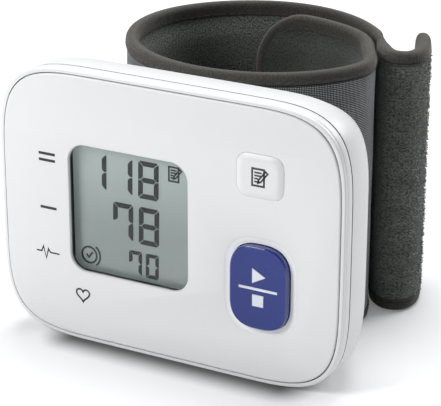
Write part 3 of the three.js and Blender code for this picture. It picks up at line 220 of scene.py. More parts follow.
class Shader:
    """A procedural material with one Principled surface"""

    def __init__(self, name):
        self.material = bpy.data.materials.new(name)
        self.material.use_nodes = True
        self.tree = self.material.node_tree
        self.surface = self.tree.nodes["Principled BSDF"]

    def node(self, kind, settings=None, inputs=(), output=0):
        """A node with its settings and inputs, as the value of one of its outputs"""
        made = self.tree.nodes.new("ShaderNode" + kind)
        for key, value in (settings or {}).items():
            setattr(made, key, value)
        pairs = inputs.items() if isinstance(inputs, dict) else enumerate(inputs)
        for key, value in pairs:
            self.feed(made.inputs[key], value)
        return Value(self, made.outputs[output])

    def feed(self, socket, value):
        if isinstance(value, Value):
            self.tree.links.new(value.socket, socket)
        elif value is not None:
            socket.default_value = value

    def parts(self, coordinates):
        """The three parts of a vector"""
        split = self.node("SeparateXYZ", inputs=[coordinates]).socket.node
        return [Value(self, out) for out in split.outputs]

    def place(self):
        """Object coordinates as three values, in metres"""
        return self.parts(self.node("TexCoord", output="Object"))

    def along(self):
        """A strip's own map, in metres: the values along and across, and both as a vector"""
        u, v = self.parts(self.node("UVMap", {"uv_map": STRIP_MAP}))[:2]
        return u, v, self.joined(u, v)

    def joined(self, x, y):
        return self.node("CombineXYZ", inputs=[x, y, 0.0])

    def noise(self, scale, detail=2.0, roughness=0.5, vector=None):
        vector = vector or self.node("TexCoord", output="Object")
        return self.node("TexNoise", inputs={
            "Vector": vector, "Scale": scale, "Detail": detail, "Roughness": roughness})

    def mix(self, share, first, second):
        """A colour between two"""
        return self.node("Mix", {"data_type": "RGBA"}, {0: share, 6: opaque(first), 7: opaque(second)}, 2)

    def set(self, **values):
        """Sets or feeds the surface's own sockets"""
        for name, value in values.items():
            self.feed(self.surface.inputs[name.replace("_", " ")], opaque(value))
        return self

    def bump(self, height, strength, distance):
        made = self.node("Bump", inputs={"Strength": strength, "Distance": distance, "Height": height})
        self.feed(self.surface.inputs["Normal"], made)
        return self


# Mesh helpers
def mesh_object(name, points, faces, material=None):
    """A mesh in the scene"""
    mesh = bpy.data.meshes.new(name)
    mesh.from_pydata([tuple(point) for point in points], [], [tuple(face) for face in faces])
    mesh.validate()
    obj = bpy.data.objects.new(name, mesh)
    bpy.context.scene.collection.objects.link(obj)
    if material:
        obj.data.materials.append(material)
    return obj


def outward(obj, merge=True):
    """Turns every face outwards, as a rule with doubles merged first"""
    work = bmesh.new()
    work.from_mesh(obj.data)
    if merge:
        bmesh.ops.remove_doubles(work, verts=work.verts, dist=1e-7)
    bmesh.ops.recalc_face_normals(work, faces=work.faces)
    work.to_mesh(obj.data)
    work.free()
    return obj


def smooth(obj, angle=SHARP):
    """Shades smooth, save for edges sharper than the angle"""
    obj.data.polygons.foreach_set("use_smooth", [True] * len(obj.data.polygons))
    obj.data.set_sharp_from_angle(angle=angle)
    return obj


def flattened(obj):
    """The object with its modifiers turned into a plain mesh"""
    evaluated = obj.evaluated_get(bpy.context.evaluated_depsgraph_get())
    mesh = bpy.data.meshes.new_from_object(evaluated)
    obj.modifiers.clear()
    old = obj.data
    obj.data = mesh
    bpy.data.meshes.remove(old)
    return obj


def ring_faces(count, rings, closed=True):
    """Faces between rings of as many points each; closed rings have caps on the first and the last"""
    faces = []
    around = count if closed else count - 1
    for start in range(0, (rings - 1) * count, count):
        for i in range(around):
            j = (i + 1) % count
            faces.append((start + i, start + j, start + count + j, start + count + i))
    if closed:
        faces.append(tuple(reversed(range(count))))
        faces.append(tuple(range((rings - 1) * count, rings * count)))
    return faces


def loft(name, rings, material=None):
    """A solid through rings of points"""
    rings = np.asarray(rings)
    faces = ring_faces(rings.shape[1], rings.shape[0])
    return outward(mesh_object(name, rings.reshape(-1, 3), faces, material))


def combine(obj, tools, operation="DIFFERENCE"):
    """Applies boolean tools one after the other, and removes them"""
    for tool in tools:
        modifier = obj.modifiers.new("cut", "BOOLEAN")
        modifier.operation = operation
        modifier.solver = "EXACT"
        modifier.object = tool
    flattened(obj)
    for tool in tools:
        bpy.data.objects.remove(tool, do_unlink=True)
    return obj


def lump(name, low, high):
    """A plain box used only as a cutting or joining tool"""
    corners = [(x, y, z) for x in (low[0], high[0]) for y in (low[1], high[1]) for z in (low[2], high[2])]
    faces = [(0, 1, 3, 2), (4, 6, 7, 5), (0, 4, 5, 1), (2, 3, 7, 6), (0, 2, 6, 4), (1, 5, 7, 3)]
    return outward(mesh_object(name, corners, faces))


def bar(name, start, axis, radius, length, sides=48):
    """A round bar from a start along y or z, used as a tool"""
    turn = np.linspace(0, 2 * np.pi, sides, endpoint=False)
    across, way = {"y": ((0, 0, 1), (0, 1, 0)), "z": ((0, 1, 0), (0, 0, 1))}[axis]
    ring = np.outer(np.cos(turn), (1, 0, 0)) * radius + np.outer(np.sin(turn), across) * radius + np.array(start)
    return loft(name, [ring, ring + np.array(way) * length])


def finish_piece(obj, body, slot, *nodes):
    """Says what a piece rides on and which nodes it stands for; the slot is not used"""
    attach(obj, body)
    if nodes:
        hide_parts(*nodes)


# Outlines and solids that the pieces share
def squarish(left, right, top, bottom, left_reach, right_reach, exponent=4.0, steps=16):
    """An outline whose corners are quarters of superellipses, anticlockwise seen from the front"""
    points = []
    quarters = (
        (right, top, 1, 1, right_reach), (left, top, -1, 1, left_reach),
        (left, bottom, -1, -1, left_reach), (right, bottom, 1, -1, right_reach))
    for side, rise, x, z, reach in quarters:
        quarter = []
        for i in range(steps + 1):
            turn = i / steps * math.pi / 2
            across = side - reach + reach * max(math.cos(turn), 0) ** (2 / exponent)
            up = rise - reach + reach * math.sin(turn) ** (2 / exponent)
            quarter.append((x * across, z * up))
        if x * z < 0:
            quarter.reverse()
        points.extend(quarter)
    return np.array(points)


def even(width, height, reach, exponent=2.6, steps=14):
    """The same on all four corners"""
    return squarish(width / 2, width / 2, height / 2, height / 2, reach, reach, exponent, steps)


def case_outline(case, side=0.0, top=0.0, bottom=0.0, share=1.0, wall=0.0, last=0.64):
    """The case's outline round its middle, drawn in and with the squarer battery corners on the left"""
    half = case.width / 2
    rise = case.height / 2
    reach = max(case.corner_reach * share - wall, case.wall)
    mixed = (share - last) / (1 - last)
    left = max(case.battery_reach + (case.corner_reach - case.battery_reach) * mixed - wall, case.wall)
    return squarish(half - side - wall, half - side - wall, rise - top - wall, rise - bottom - wall, left, reach,
                    steps=20)


def stack(name, sections, material=None):
    """A solid through outlines that lie across Y: (y, outline, x, z)"""
    rings = []
    for y, outline, x, z in sections:
        ring = np.empty((len(outline), 3))
        ring[:, 0] = outline[:, 0] + x
        ring[:, 1] = y
        ring[:, 2] = outline[:, 1] + z
        rings.append(ring)
    return loft(name, rings, material)


# Shares along the back of the case: back, side, top, bottom, corner
BACK = np.array([
    (0.0, 0.0, 0.0, 0.0, 1.0),
    (0.09, 0.04, 0.09, 0.04, 0.97),
    (0.2, 0.13, 0.19, 0.12, 0.92),
    (0.45, 0.37, 0.43, 0.33, 0.8),
    (0.75, 0.66, 0.72, 0.52, 0.72),
    (0.94, 0.84, 0.88, 0.76, 0.68),
    (1.0, 1.0, 1.0, 1.0, 0.64),
])


def back_sections(case, wall=0.0, count=22):
    """Sections of the back of the case, as one smooth run"""
    shares = np.linspace(0, 1, count)
    columns = [np.interp(shares, BACK[:, 0], BACK[:, i]) for i in range(5)]
    soft = [np.convolve(np.pad(column, 2, mode="edge"), np.ones(5) / 5, mode="valid") for column in columns]
    for column, eased in zip(columns, soft):
        column[2:-2] = eased[2:-2]
    run = case.back_reach - case.shoulder_back
    sections = []
    for back, side, top, bottom, corner in zip(*columns):
        outline = case_outline(
            case, side=case.side_draft + case.side_draw * side, top=case.top_draft + case.top_draw * top,
            bottom=case.bottom_draw * bottom, share=corner, wall=wall)
        sections.append((case.shoulder_back + run * back - wall, outline, 0, case.height / 2))
    return sections


# Plan of the rolled strip: places, ways along and lengths
def ease(values, low, high):
    """0 below low, 1 above high and a soft step between"""
    share = np.clip((values - low) / (high - low), 0, 1)
    return share * share * (3 - 2 * share)


class Plan:
    """A line seen from above, with places and ways at any length, and how far a unit of depth reaches there"""

    def __init__(self, points, reach=1.0):
        self.points = np.asarray(points)
        self.reach = np.broadcast_to(reach, len(self.points))
        steps = np.linalg.norm(np.diff(self.points, axis=0), axis=1)
        self.lengths = np.concatenate([[0], np.cumsum(steps)])
        ways = np.gradient(self.points, self.lengths, axis=0)
        self.ways = ways / np.linalg.norm(ways, axis=1)[:, None]
        self.total = self.lengths[-1]

    def at(self, lengths):
        place = np.stack([np.interp(lengths, self.lengths, self.points[:, i]) for i in (0, 1)], axis=-1)
        way = np.stack([np.interp(lengths, self.lengths, self.ways[:, i]) for i in (0, 1)], axis=-1)
        way /= np.linalg.norm(way, axis=-1, keepdims=True)
        reach = np.interp(lengths, self.lengths, self.reach)
        return place, way, np.stack([way[..., 1], -way[..., 0]], axis=-1) * reach[..., None]


STRIP_FROM, STRIP_TO, STRIP_POINTS = 118, -320, 420  # the loop's angles, in degrees, and points


def strip_plan(cuff):
    """The strip's outer face from its inner end, round the loop, to where the pull tail leaves"""
    turn = np.linspace(STRIP_FROM, STRIP_TO, STRIP_POINTS)
    near, far = 0.65 * cuff.flap_inset, 0.35 * cuff.flap_inset
    inset = (near * ease(turn, -20, 18) + far * ease(turn, 10, 76) - cuff.loose * ease(-turn, 150, 210)
             + (cuff.loose + cuff.pressed) * ease(-turn, 250, 322))
    angle = np.radians(turn)
    x = cuff.x + (cuff.half_width - inset) * np.cos(angle)
    y = cuff.y + (cuff.half_depth - inset) * np.sin(angle)
    loop = np.stack([x, y], axis=1)
    way = loop[-1] - loop[-2]
    way /= np.linalg.norm(way)
    run = loop[-1] + np.outer(np.linspace(0, 1, 25)[1:] * cuff.run, way)
    points = np.concatenate([loop, run])
    reach = np.concatenate([1 - cuff.thinned * ease(-turn, 225, 300), np.full(len(run), 1 - cuff.thinned)])
    line = Plan(points)
    pinch = cuff.pinch * ease(line.lengths, line.total - 7 * MM, line.total)
    points = points + np.stack([line.ways[:, 1], -line.ways[:, 0]], axis=1) * pinch[:, None]
    return Plan(points, reach - pinch / cuff.thickness)


def smooth_line(points, count):
    """A smooth line through the points, evenly spaced"""
    points = np.asarray(points, dtype=float)
    ends = np.concatenate([[2 * points[0] - points[1]], points, [2 * points[-1] - points[-2]]])
    line = []
    for p0, p1, p2, p3 in zip(ends, ends[1:], ends[2:], ends[3:]):
        t1 = np.linalg.norm(p1 - p0) ** 0.5
        t2 = t1 + np.linalg.norm(p2 - p1) ** 0.5
        t3 = t2 + np.linalg.norm(p3 - p2) ** 0.5
        t = np.linspace(t1, t2, 24, endpoint=False)[:, None]
        a1 = (t1 - t) / t1 * p0 + t / t1 * p1
        a2 = (t2 - t) / (t2 - t1) * p1 + (t - t1) / (t2 - t1) * p2
        a3 = (t3 - t) / (t3 - t2) * p2 + (t - t2) / (t3 - t2) * p3
        b1 = (t2 - t) / t2 * a1 + t / t2 * a2
        b2 = (t3 - t) / (t3 - t1) * a2 + (t - t1) / (t3 - t1) * a3
        line.append((t2 - t) / (t2 - t1) * b1 + (t - t1) / (t2 - t1) * b2)
    line = np.concatenate(line + [points[-1:]])
    lengths = np.concatenate([[0], np.cumsum(np.linalg.norm(np.diff(line, axis=0), axis=1))])
    even_lengths = np.linspace(0, lengths[-1], count)
    return np.stack([np.interp(even_lengths, lengths, line[:, i]) for i in (0, 1)], axis=1)


# The pull tail's middle line, in shares of its reach
TAIL_REACH = 12.4 * MM
TAIL_SHARES = (
    (0.198, -0.582), (0.407, -0.703), (0.641, -0.623), (0.721, -0.323),
    (0.593, 0.119), (0.375, 0.619), (0.173, 0.999))


def tail_plan(cuff):
    """The pull tail's middle line from its tip back to where it leaves the loop"""
    place, way, inward = strip_plan(cuff).at(np.array([1e3]))
    side = inward[0] / np.linalg.norm(inward[0])
    thick = cuff.thickness * (1 - cuff.thinned) - cuff.pinch
    root = place[0] + way[0] * 0.03 * MM + side * thick / 2
    leave = place[0] - side * cuff.pinch
    points = [leave + np.array(share) * TAIL_REACH for share in TAIL_SHARES]
    line = smooth_line([root, *points][::-1], 160)
    share = np.linspace(0, 1, len(line))
    tip, foot = 0.38, thick / cuff.tail_thickness
    return Plan(line, tip + (1 - tip) * ease(share, 0, 0.24) - (1 - foot) * ease(share, 0.84, 1))


# Materials
def grain(shader, fine, strength, distance):
    """Finishes a material with a very fine moulded grain"""
    return shader.bump(shader.noise(fine, detail=1.0), strength, distance).material


# Painted shade: colours painted into the parting line's groove and into openings, where shade falls
GROOVE_SHADE, OPENING_SHADE = (0.02, 0.02, 0.022), (0.025, 0.025, 0.027)


def white_plastic(name, tone, roughness=0.36, seam=None, depth=None, border=None):
    """White moulding, with painted shade in the seam's groove and in openings below the depth, and painted light
    in the border
    """
    shader = Shader(name)
    patch = shader.noise(35, detail=3.0)
    base = shader.mix(patch.ramp(0.35, 0.7), tone, times(tone, 0.985))
    x, y, z = shader.place()
    # Painted shade in the groove of the parting line
    if seam is not None:
        groove = 1 - (y - seam).absolute().ramp(0.15 * MM, 0.22 * MM)
        base = shader.mix(groove, base, GROOVE_SHADE)
    # Painted light: lighter in the dish inside the border, behind the plate's front
    if border is not None:
        middle_x, middle_z, wide, high, top = border
        inside = 1 - (x - middle_x).absolute().ramp(wide, wide + 1 * MM)
        inside = inside * (1 - (z - middle_z).absolute().ramp(high, high + 1 * MM))
        base = shader.mix(inside * y.ramp(top, top + 0.2 * MM), base, tuple(min(1.18 * c, 0.95) for c in tone))
    # Painted shade in openings, deeper than the given depth
    if depth is not None:
        base = shader.mix(y.ramp(depth, depth + 0.35 * MM), base, OPENING_SHADE)
    shader.set(Base_Color=base, Roughness=roughness + patch * 0.06)
    shader.set(Coat_Weight=0.12, Coat_Roughness=0.25)
    return grain(shader, 4200, 0.05, 0.00002)


def plain(name, tone, roughness=0.5, metallic=0.0):
    """An even, slightly patchy finish"""
    shader = Shader(name)
    patch = shader.noise(90, detail=2.0)
    shader.set(
        Base_Color=shader.mix(patch.ramp(0.3, 0.7), tone, times(tone, 0.88)),
        Roughness=roughness + patch * 0.08, Metallic=metallic)
    return grain(shader, 3000, 0.08, 0.00003)


def clear_plastic():
    """The window over the display"""
    shader = Shader("clear window")
    shader.set(
        Base_Color=(0.97, 0.985, 0.98), Roughness=0.02, Transmission_Weight=1.0, IOR=1.05,
        Coat_Weight=0.15, Coat_Roughness=0.02, Specular_IOR_Level=0.3)
    return shader.bump(shader.noise(600, detail=3.0), 0.01, 0.00002).material


CELL_TURN = 9000  # of the glass's cells, in radians a metre


def display_glass(tone, low, high):
    """Liquid crystal glass, with painted light towards its top and a painted glow that lifts the shade in the
    window
    """
    shader = Shader("display glass")
    x, _, z = shader.place()
    cells = ((z * CELL_TURN).sine() * 0.5 + 0.5) * ((x * CELL_TURN).sine() * 0.5 + 0.5)
    patch = shader.noise(60, detail=2.0)
    base = shader.mix(patch.ramp(0.3, 0.75), tone, times(tone, 0.95))
    # Painted light: lighter towards the top
    base = shader.mix(z.ramp(low, high), base, times(tone, 1.5))
    shown = shader.mix(cells * 0.06, base, (0.16, 0.18, 0.17))
    # Painted light: the glass glows though it is no lamp, over a base colour darkened to make up
    return shader.set(
        Base_Color=shader.mix(0.35, shown, (0, 0, 0)), Roughness=0.22 + patch * 0.05, Emission_Color=shown,
        Emission_Strength=0.28, Coat_Weight=0.4, Coat_Roughness=0.12).material


def blue_plastic(tone, place, half_width, half_height):
    """Blue moulding, glossier on its rounded shoulder than on its top"""
    shader = Shader("blue button")
    patch = shader.noise(120, detail=3.0)
    x, _, z = shader.place()
    across = (x - place[0]) * (1 / half_width)
    up = (z - place[1]) * (1 / half_height)
    across, up = across * across, up * up
    shoulder = (across * across + up * up).ramp(0.76, 0.84)
    shader.set(
        Base_Color=shader.mix(patch.ramp(0.3, 0.7), tone, times(tone, 1.1)),
        Roughness=0.26 + patch * 0.02 - shoulder * 0.12, Coat_Weight=0.25 + shoulder * 0.75, Coat_Roughness=0.08,
        Specular_IOR_Level=0.4)
    return grain(shader, 5200, 0.10, 0.00002)


BATTERY_BAND = 40.5 * MM  # where a battery's upper band starts


def battery_wrap():
    """A dark battery wrap with a copper band"""
    shader = Shader("battery wrap")
    band = shader.place()[2].above(BATTERY_BAND)
    patch = shader.noise(200, detail=3.0)
    shader.set(
        Base_Color=shader.mix(band, (0.03, 0.033, 0.036), (0.42, 0.25, 0.09)),
        Roughness=0.3 + patch * 0.12, Metallic=0.35)
    return grain(shader, 2500, 0.05, 0.00002)


def board_green():
    """Circuit board with faint tracks"""
    shader = Shader("circuit board")
    x, _, z = shader.place()
    tracks = ((x * 1400).sine() * (z * 900).sine()).above(0.72)
    patch = shader.noise(150, detail=4.0)
    base = shader.mix(patch.ramp(0.35, 0.65), (0.012, 0.085, 0.028), (0.018, 0.12, 0.040))
    shader.set(Base_Color=shader.mix(tracks * 0.6, base, (0.035, 0.2, 0.07)), Roughness=0.38 + patch * 0.1)
    return grain(shader, 1800, 0.12, 0.00003)


# The case and what shows on it
def settings(*groups):
    """The sizes or colours of the groups named"""
    return [getattr(bpy.context.scene, "monitor_" + group) for group in groups]


def prism(name, outline, x, z, y0, y1):
    """One outline carried straight through from front to back"""
    return stack(name, [(y0, outline, x, z), (y1, outline, x, z)])


def window_outline(case, grow=0.0):
    width = case.window + 2 * grow
    return even(width, width, case.window_radius + grow, 2.0)


def start_outline(buttons, grow=0.0):
    return even(buttons.start_width + 2 * grow, buttons.start_height + 2 * grow, buttons.start_reach + grow)


def memory_outline(buttons, grow=0.0):
    return even(buttons.memory_width + 2 * grow, buttons.memory_height + 2 * grow, buttons.memory_reach + grow)


def start_place(case, buttons):
    return buttons.start_x, case.height / 2 - buttons.start_below


def memory_place(case, buttons):
    return buttons.memory_x, case.height / 2 + buttons.memory_above


def window_place(case):
    return case.window_x, case.height / 2 + case.window_up


# Profiles in millimetres: how deep each line lies, and how far in
PLATE_EDGE = ((0.0, 0.42), (0.03, 0.26), (0.1, 0.12), (0.22, 0.03), (0.4, 0.0))
RIM_PROFILE = (
    (0.0, 0.34), (0.04, 0.2), (0.12, 0.09), (0.24, 0.02), (0.38, 0.0), (0.86, 0.0),
    (0.92, 0.03), (0.99, 0.1), (1.08, 0.13), (1.17, 0.1), (1.24, 0.03), (1.32, 0.0))
SEAM_EDGE = ((0.0, 0.12), (0.06, 0.03), (0.2, 0.0))
HORN_END, HORN_SHARE = ((0.06, 0.3), (0.0, 0.8)), 0.64
SEAM_HALF = 0.12 * MM  # half of the parting line's width
# The dish in shares of its depth and of its width outwards
DISH = ((-0.6, 1.12), (-0.02, 1.02), (0.12, 0.93), (0.4, 0.72), (0.75, 0.4), (0.95, 0.16), (1.0, 0.0))
# Mouths of the holes in the plate, in millimetres: depth, and play round the piece in it
MEMORY_MOUTH = ((-0.4, 0.3), (0.06, 0.035))
WINDOW_MOUTH = ((-0.2, 0.42), (0.24, 0.03))
START_PLAY, MEMORY_PLAY = 0.18 * MM, 0.035 * MM
OVERRUN = 2 * MM  # how far a cutting shape runs past what it cuts
LEDGE = 1 * MM  # thickness of the ledge behind the plate
SKIRT, SKIRT_OVERLAP = 1 * MM, 0.2 * MM  # thickness and reach of the skirt, and how far it runs into the ledge
WINDOW_LEDGE = 1.1 * MM  # how far the ledge's opening stands back from the window
CASE_SHARP, BACK_SHARP = math.radians(28), math.radians(26)


def section(case, y, wall=0.0, **draw):
    """The case's outline at one depth"""
    return y, case_outline(case, wall=wall, **draw), 0, case.height / 2


def case_prism(case, wall, y0, y1):
    """The case's outline carried straight through"""
    return stack("tool", [section(case, y0, wall), section(case, y1, wall)])


def plate_hole(outline_at, place, front, back, mouth, play):
    """A hole through the plate with a widened mouth"""
    rings = [(front + depth * MM, outline_at(wide * MM), *place) for depth, wide in mouth]
    return stack("hole", rings + [(back + OVERRUN, outline_at(play), *place)])


def make_face_plate(case, buttons, material):
    """The flat front, with the dish round the blue button and three holes"""
    front = -case.plate_front
    back = front + case.plate_thickness
    edge = case.plate_inset + case.line_width / 2
    sections = [section(case, front + depth * MM, edge + inset * MM) for depth, inset in PLATE_EDGE]
    plate = stack("face_plate_smooth", sections + [section(case, back, edge)], material)
    start = start_place(case, buttons)
    bowl = stack("dish", [
        (front + buttons.dish_depth * depth, start_outline(buttons, case.gap + buttons.dish * out), *start)
        for depth, out in DISH])
    combine(plate, [
        bowl, prism("hole", start_outline(buttons, START_PLAY), *start, front - OVERRUN, back + OVERRUN),
        plate_hole(lambda grow: memory_outline(buttons, grow), memory_place(case, buttons), front, back,
                   MEMORY_MOUTH, MEMORY_PLAY),
        plate_hole(lambda grow: window_outline(case, grow), window_place(case), front, back, WINDOW_MOUTH, 0.0)])
    return smooth(plate, CASE_SHARP)


def make_front_case(case, buttons, material):
    """The rim round the plate, the ledge behind it and a skirt into the back of the case"""
    rim = -case.rim_front
    back = -case.seam_front - SEAM_HALF
    sections = [section(case, rim + depth * MM, inset * MM) for depth, inset in RIM_PROFILE]
    sections += [section(case, back - depth * MM, inset * MM) for depth, inset in SEAM_EDGE[::-1]]
    shell = stack("front_case_smooth", sections, material)
    ledge_front = -case.plate_front + case.plate_thickness + case.gap
    ledge_back = ledge_front + LEDGE
    openings = (
        (window_outline(case, WINDOW_LEDGE), window_place(case)),
        (start_outline(buttons, case.gap), start_place(case, buttons)),
        (memory_outline(buttons, case.gap), memory_place(case, buttons)))
    combine(shell, [
        case_prism(case, case.plate_inset - case.line_width / 2, rim - OVERRUN, ledge_front),
        case_prism(case, case.wall, ledge_back, OVERRUN),
        *(prism("hole", outline, *place, rim, 0) for outline, place in openings)])
    skirt = case_prism(case, case.wall, ledge_back - SKIRT_OVERLAP, back + SKIRT)
    combine(skirt, [case_prism(case, case.wall + case.gap + SKIRT, rim, OVERRUN)])
    combine(shell, [skirt], "UNION")
    return smooth(shell, CASE_SHARP)


def rear_body(case, name, wall=0.0, material=None):
    """The case behind its parting line or, with a wall, the room inside it"""
    seam = -case.seam_front
    if wall:
        return stack(name, [section(case, seam - OVERRUN, wall), *back_sections(case, wall)], material)
    *sections, (tip, outline, x, z) = back_sections(case)
    draw = {
        "side": case.side_draft + case.side_draw, "top": case.top_draft + case.top_draw,
        "bottom": case.bottom_draw, "share": HORN_SHARE}
    return stack(name, [
        *(section(case, seam + SEAM_HALF + depth * MM, inset * MM) for depth, inset in SEAM_EDGE), *sections,
        (tip - 0.25 * MM, outline, x, z),
        *(section(case, tip - depth * MM, inset * MM, **draw) for depth, inset in HORN_END)], material)


def cuff_oval(cuff, case, grow):
    """The room that the roll takes, as an upright oval column"""
    turn = np.linspace(0, 2 * np.pi, 180, endpoint=False)
    x = cuff.x + (cuff.half_width + grow) * np.cos(turn)
    y = cuff.y + (cuff.half_depth + grow) * np.sin(turn)
    return loft("oval", [np.stack([x, y, np.full_like(turn, z)], axis=1) for z in (-5 * MM, case.height + 5 * MM)])


# Places in the back of the case, in millimetres
COVER_LOW, COVER_TOP = 5, 6  # the battery cover's ends, from the case's bottom and top
COVER_ACROSS, COVER_BACK = 11, 17  # its edges, from the case's side and behind the middle
TRAY_FRONT, TRAY_STEP, TRAY_NARROW, TRAY_WIDE = 1.2, 6, 15.2, 19.4
BAY_ROOM, BAY_LOW, BAY_HIGH = 5.4, 5.5, 54.5
BAYS = ((-33.1, 0.9), (-29.0, 11.3))  # the middles of the two batteries
WELLS = ((-21.5, 56.7), (-21.5, 6.3), (29.5, 56.7), (29.5, 6.3))
WELL_SEAT, WELL_RADIUS, WELL_LENGTH = 6.3, 2.3, 20
RECESS_DEPTH, COVER_THICKNESS = 1.9 * MM, 1.6 * MM
RIBS, RIB_PITCH, RIB_HALF, RIB_DEPTH, RIB_FRONT, RIB_BACK = 5, 3.2, 0.45, 0.42, 0.4, 6.4


def cover_region(case, grow=0.0):
    """The box that the battery cover takes up"""
    half = case.width / 2
    front = -case.seam_front + 0.15 * MM - grow - (OVERRUN if grow else 0)
    return lump("region", (-half - 2 * MM, front, COVER_LOW * MM - grow), (
        -half + COVER_ACROSS * MM + grow, COVER_BACK * MM + grow, case.height - COVER_TOP * MM + grow))


def make_rear_case(case, cuff, material):
    """The back of the case: hollow, saddled for the roll, with a tray for two batteries and four screw wells"""
    clear = case.gap + cuff.proud
    outer = combine(rear_body(case, "rear_case_smooth", material=material), [cuff_oval(cuff, case, clear)])
    inner = combine(rear_body(case, "inside", case.wall), [cuff_oval(cuff, case, clear + case.wall)])
    half = case.width / 2
    low, high = COVER_LOW * MM, case.height - COVER_TOP * MM
    tray = combine(
        lump("tray", (-half, -case.seam_front + TRAY_FRONT * MM, low), (
            -half + TRAY_NARROW * MM, TRAY_STEP * MM, high)),
        [lump("tray", (-half, (TRAY_STEP - 0.1) * MM, low), (-half + TRAY_WIDE * MM, case.back_reach, high))],
        "UNION")
    body = outer.copy()
    body.data = outer.data.copy()
    bpy.context.scene.collection.objects.link(body)
    combine(tray, [body], "INTERSECT")
    room = BAY_ROOM * MM
    bays = []
    for x, y in BAYS:
        bays.append(bar("bay", (x * MM, y * MM, BAY_LOW * MM), "z", room, (BAY_HIGH - BAY_LOW) * MM))
        bays.append(lump("bay", (-half - 2 * MM, y * MM - room, BAY_LOW * MM), (
            x * MM, y * MM + room, BAY_HIGH * MM)))
    combine(tray, bays)
    combine(outer, [inner])
    combine(outer, [tray], "UNION")
    combine(outer, [combine(cover_region(case, case.gap), [rear_body(case, "keep", RECESS_DEPTH)])])
    combine(outer, [
        bar("well", (x * MM, WELL_SEAT * MM, z * MM), "y", WELL_RADIUS * MM, WELL_LENGTH * MM) for x, z in WELLS])
    return smooth(outer, BACK_SHARP)


def make_battery_cover(case, cuff, material):
    """The left side of the back, with ribs for the thumb"""
    region = combine(cover_region(case), [
        cuff_oval(cuff, case, case.gap + cuff.proud), rear_body(case, "keep", COVER_THICKNESS)])
    cover = combine(rear_body(case, "battery_cover_smooth", material=material), [region], "INTERSECT")
    half = case.width / 2
    ribs = []
    for i in range(RIBS):
        low = case.height / 2 + (i - RIBS // 2) * RIB_PITCH * MM
        ribs.append(lump("rib", (-half - 1 * MM, RIB_FRONT * MM, low - RIB_HALF * MM), (
            -half + RIB_DEPTH * MM, RIB_BACK * MM, low + RIB_HALF * MM)))
    combine(cover, ribs)
    return smooth(cover, BACK_SHARP)


# How deep each line of a cap's shoulder lies, and how far in, in millimetres
CRISP_SHOULDER = ((0.0, 0.341), (0.035, 0.231), (0.1, 0.143), (0.2, 0.0715), (0.34, 0.0248), (0.55, 0.0))
PILLOW_SHOULDER = ((0.0, 1.45), (0.02, 1.25), (0.07, 1.05), (0.17, 0.8), (0.3, 0.52), (0.42, 0.28), (0.5, 0.12),
                   (0.56, 0.03), (0.62, 0.0))


FLANGE = ((-4.55, 0.0), (-4.5, 0.9), (-3.9, 0.9))  # in millimetres: depth behind the middle, and how far out
STEM_FRONT, STEM_RADIUS, STEM_LENGTH = -4.3 * MM, 2.2 * MM, 1.3 * MM


def make_button(name, outline_at, place, nose, material, rounds, dip=0.0):
    """A cap with rounded shoulders and a very slightly hollow top, over a flange"""
    top = outline_at(-rounds[0][1] * MM)
    sections = [(nose + dip * (1 - share ** 2), top * share, *place) for share in (0.25, 0.5, 0.75, 0.93)]
    sections += [(nose + depth * MM, outline_at(-inset * MM), *place) for depth, inset in rounds]
    sections += [(depth * MM, outline_at(out * MM), *place) for depth, out in FLANGE]
    stem = bar("stem", (place[0], STEM_FRONT, place[1]), "y", STEM_RADIUS, STEM_LENGTH)
    return smooth(combine(stack(name, sections, material), [stem], "UNION"), math.radians(30))


# Printed and shown marks, as thin shapes
def ribbon(points, width, closed=False):
    """Corners of a line of even width, in the face's plane, with mitred turns"""
    points = np.asarray(points, dtype=float)
    after = np.roll(points, -1, axis=0) - points
    if not closed:
        after[-1] = after[-2]
    after /= np.linalg.norm(after, axis=1)[:, None]
    before = np.roll(after, 1, axis=0)
    if not closed:
        before[0] = after[0]
    sides = [np.stack([-way[:, 1], way[:, 0]], axis=1) for way in (before, after)]
    turn = 1 + (sides[0] * sides[1]).sum(axis=1)[:, None]
    side = (sides[0] + sides[1]) / np.maximum(turn, 0.25) * width / 2
    return points + side, points - side


class Marks:
    """Flat marks gathered into one thin mesh: each is a polygon in X and Z"""

    def __init__(self, front, back):
        self.front, self.back = front, back
        self.points, self.faces = [], []

    def polygon(self, corners):
        start = len(self.points)
        count = len(corners)
        for y in (self.front, self.back):
            self.points += [(x, y, z) for x, z in corners]
        self.faces.append(tuple(range(start, start + count)))
        self.faces.append(tuple(reversed(range(start + count, start + 2 * count))))
        for i in range(count):
            j = (i + 1) % count
            self.faces.append((start + i, start + count + i, start + count + j, start + j))

    def line(self, points, width, closed=False):
        one, two = ribbon(points, width, closed)
        spans = len(one) if closed else len(one) - 1
        for i in range(spans):
            j = (i + 1) % len(one)
            self.polygon([tuple(one[i]), tuple(one[j]), tuple(two[j]), tuple(two[i])])

    def build(self, name, material):
        return outward(mesh_object(name, self.points, self.faces, material))


SEGMENTS = {"0": "abcdef", "1": "bc", "7": "abcf", "8": "abcdefg"}


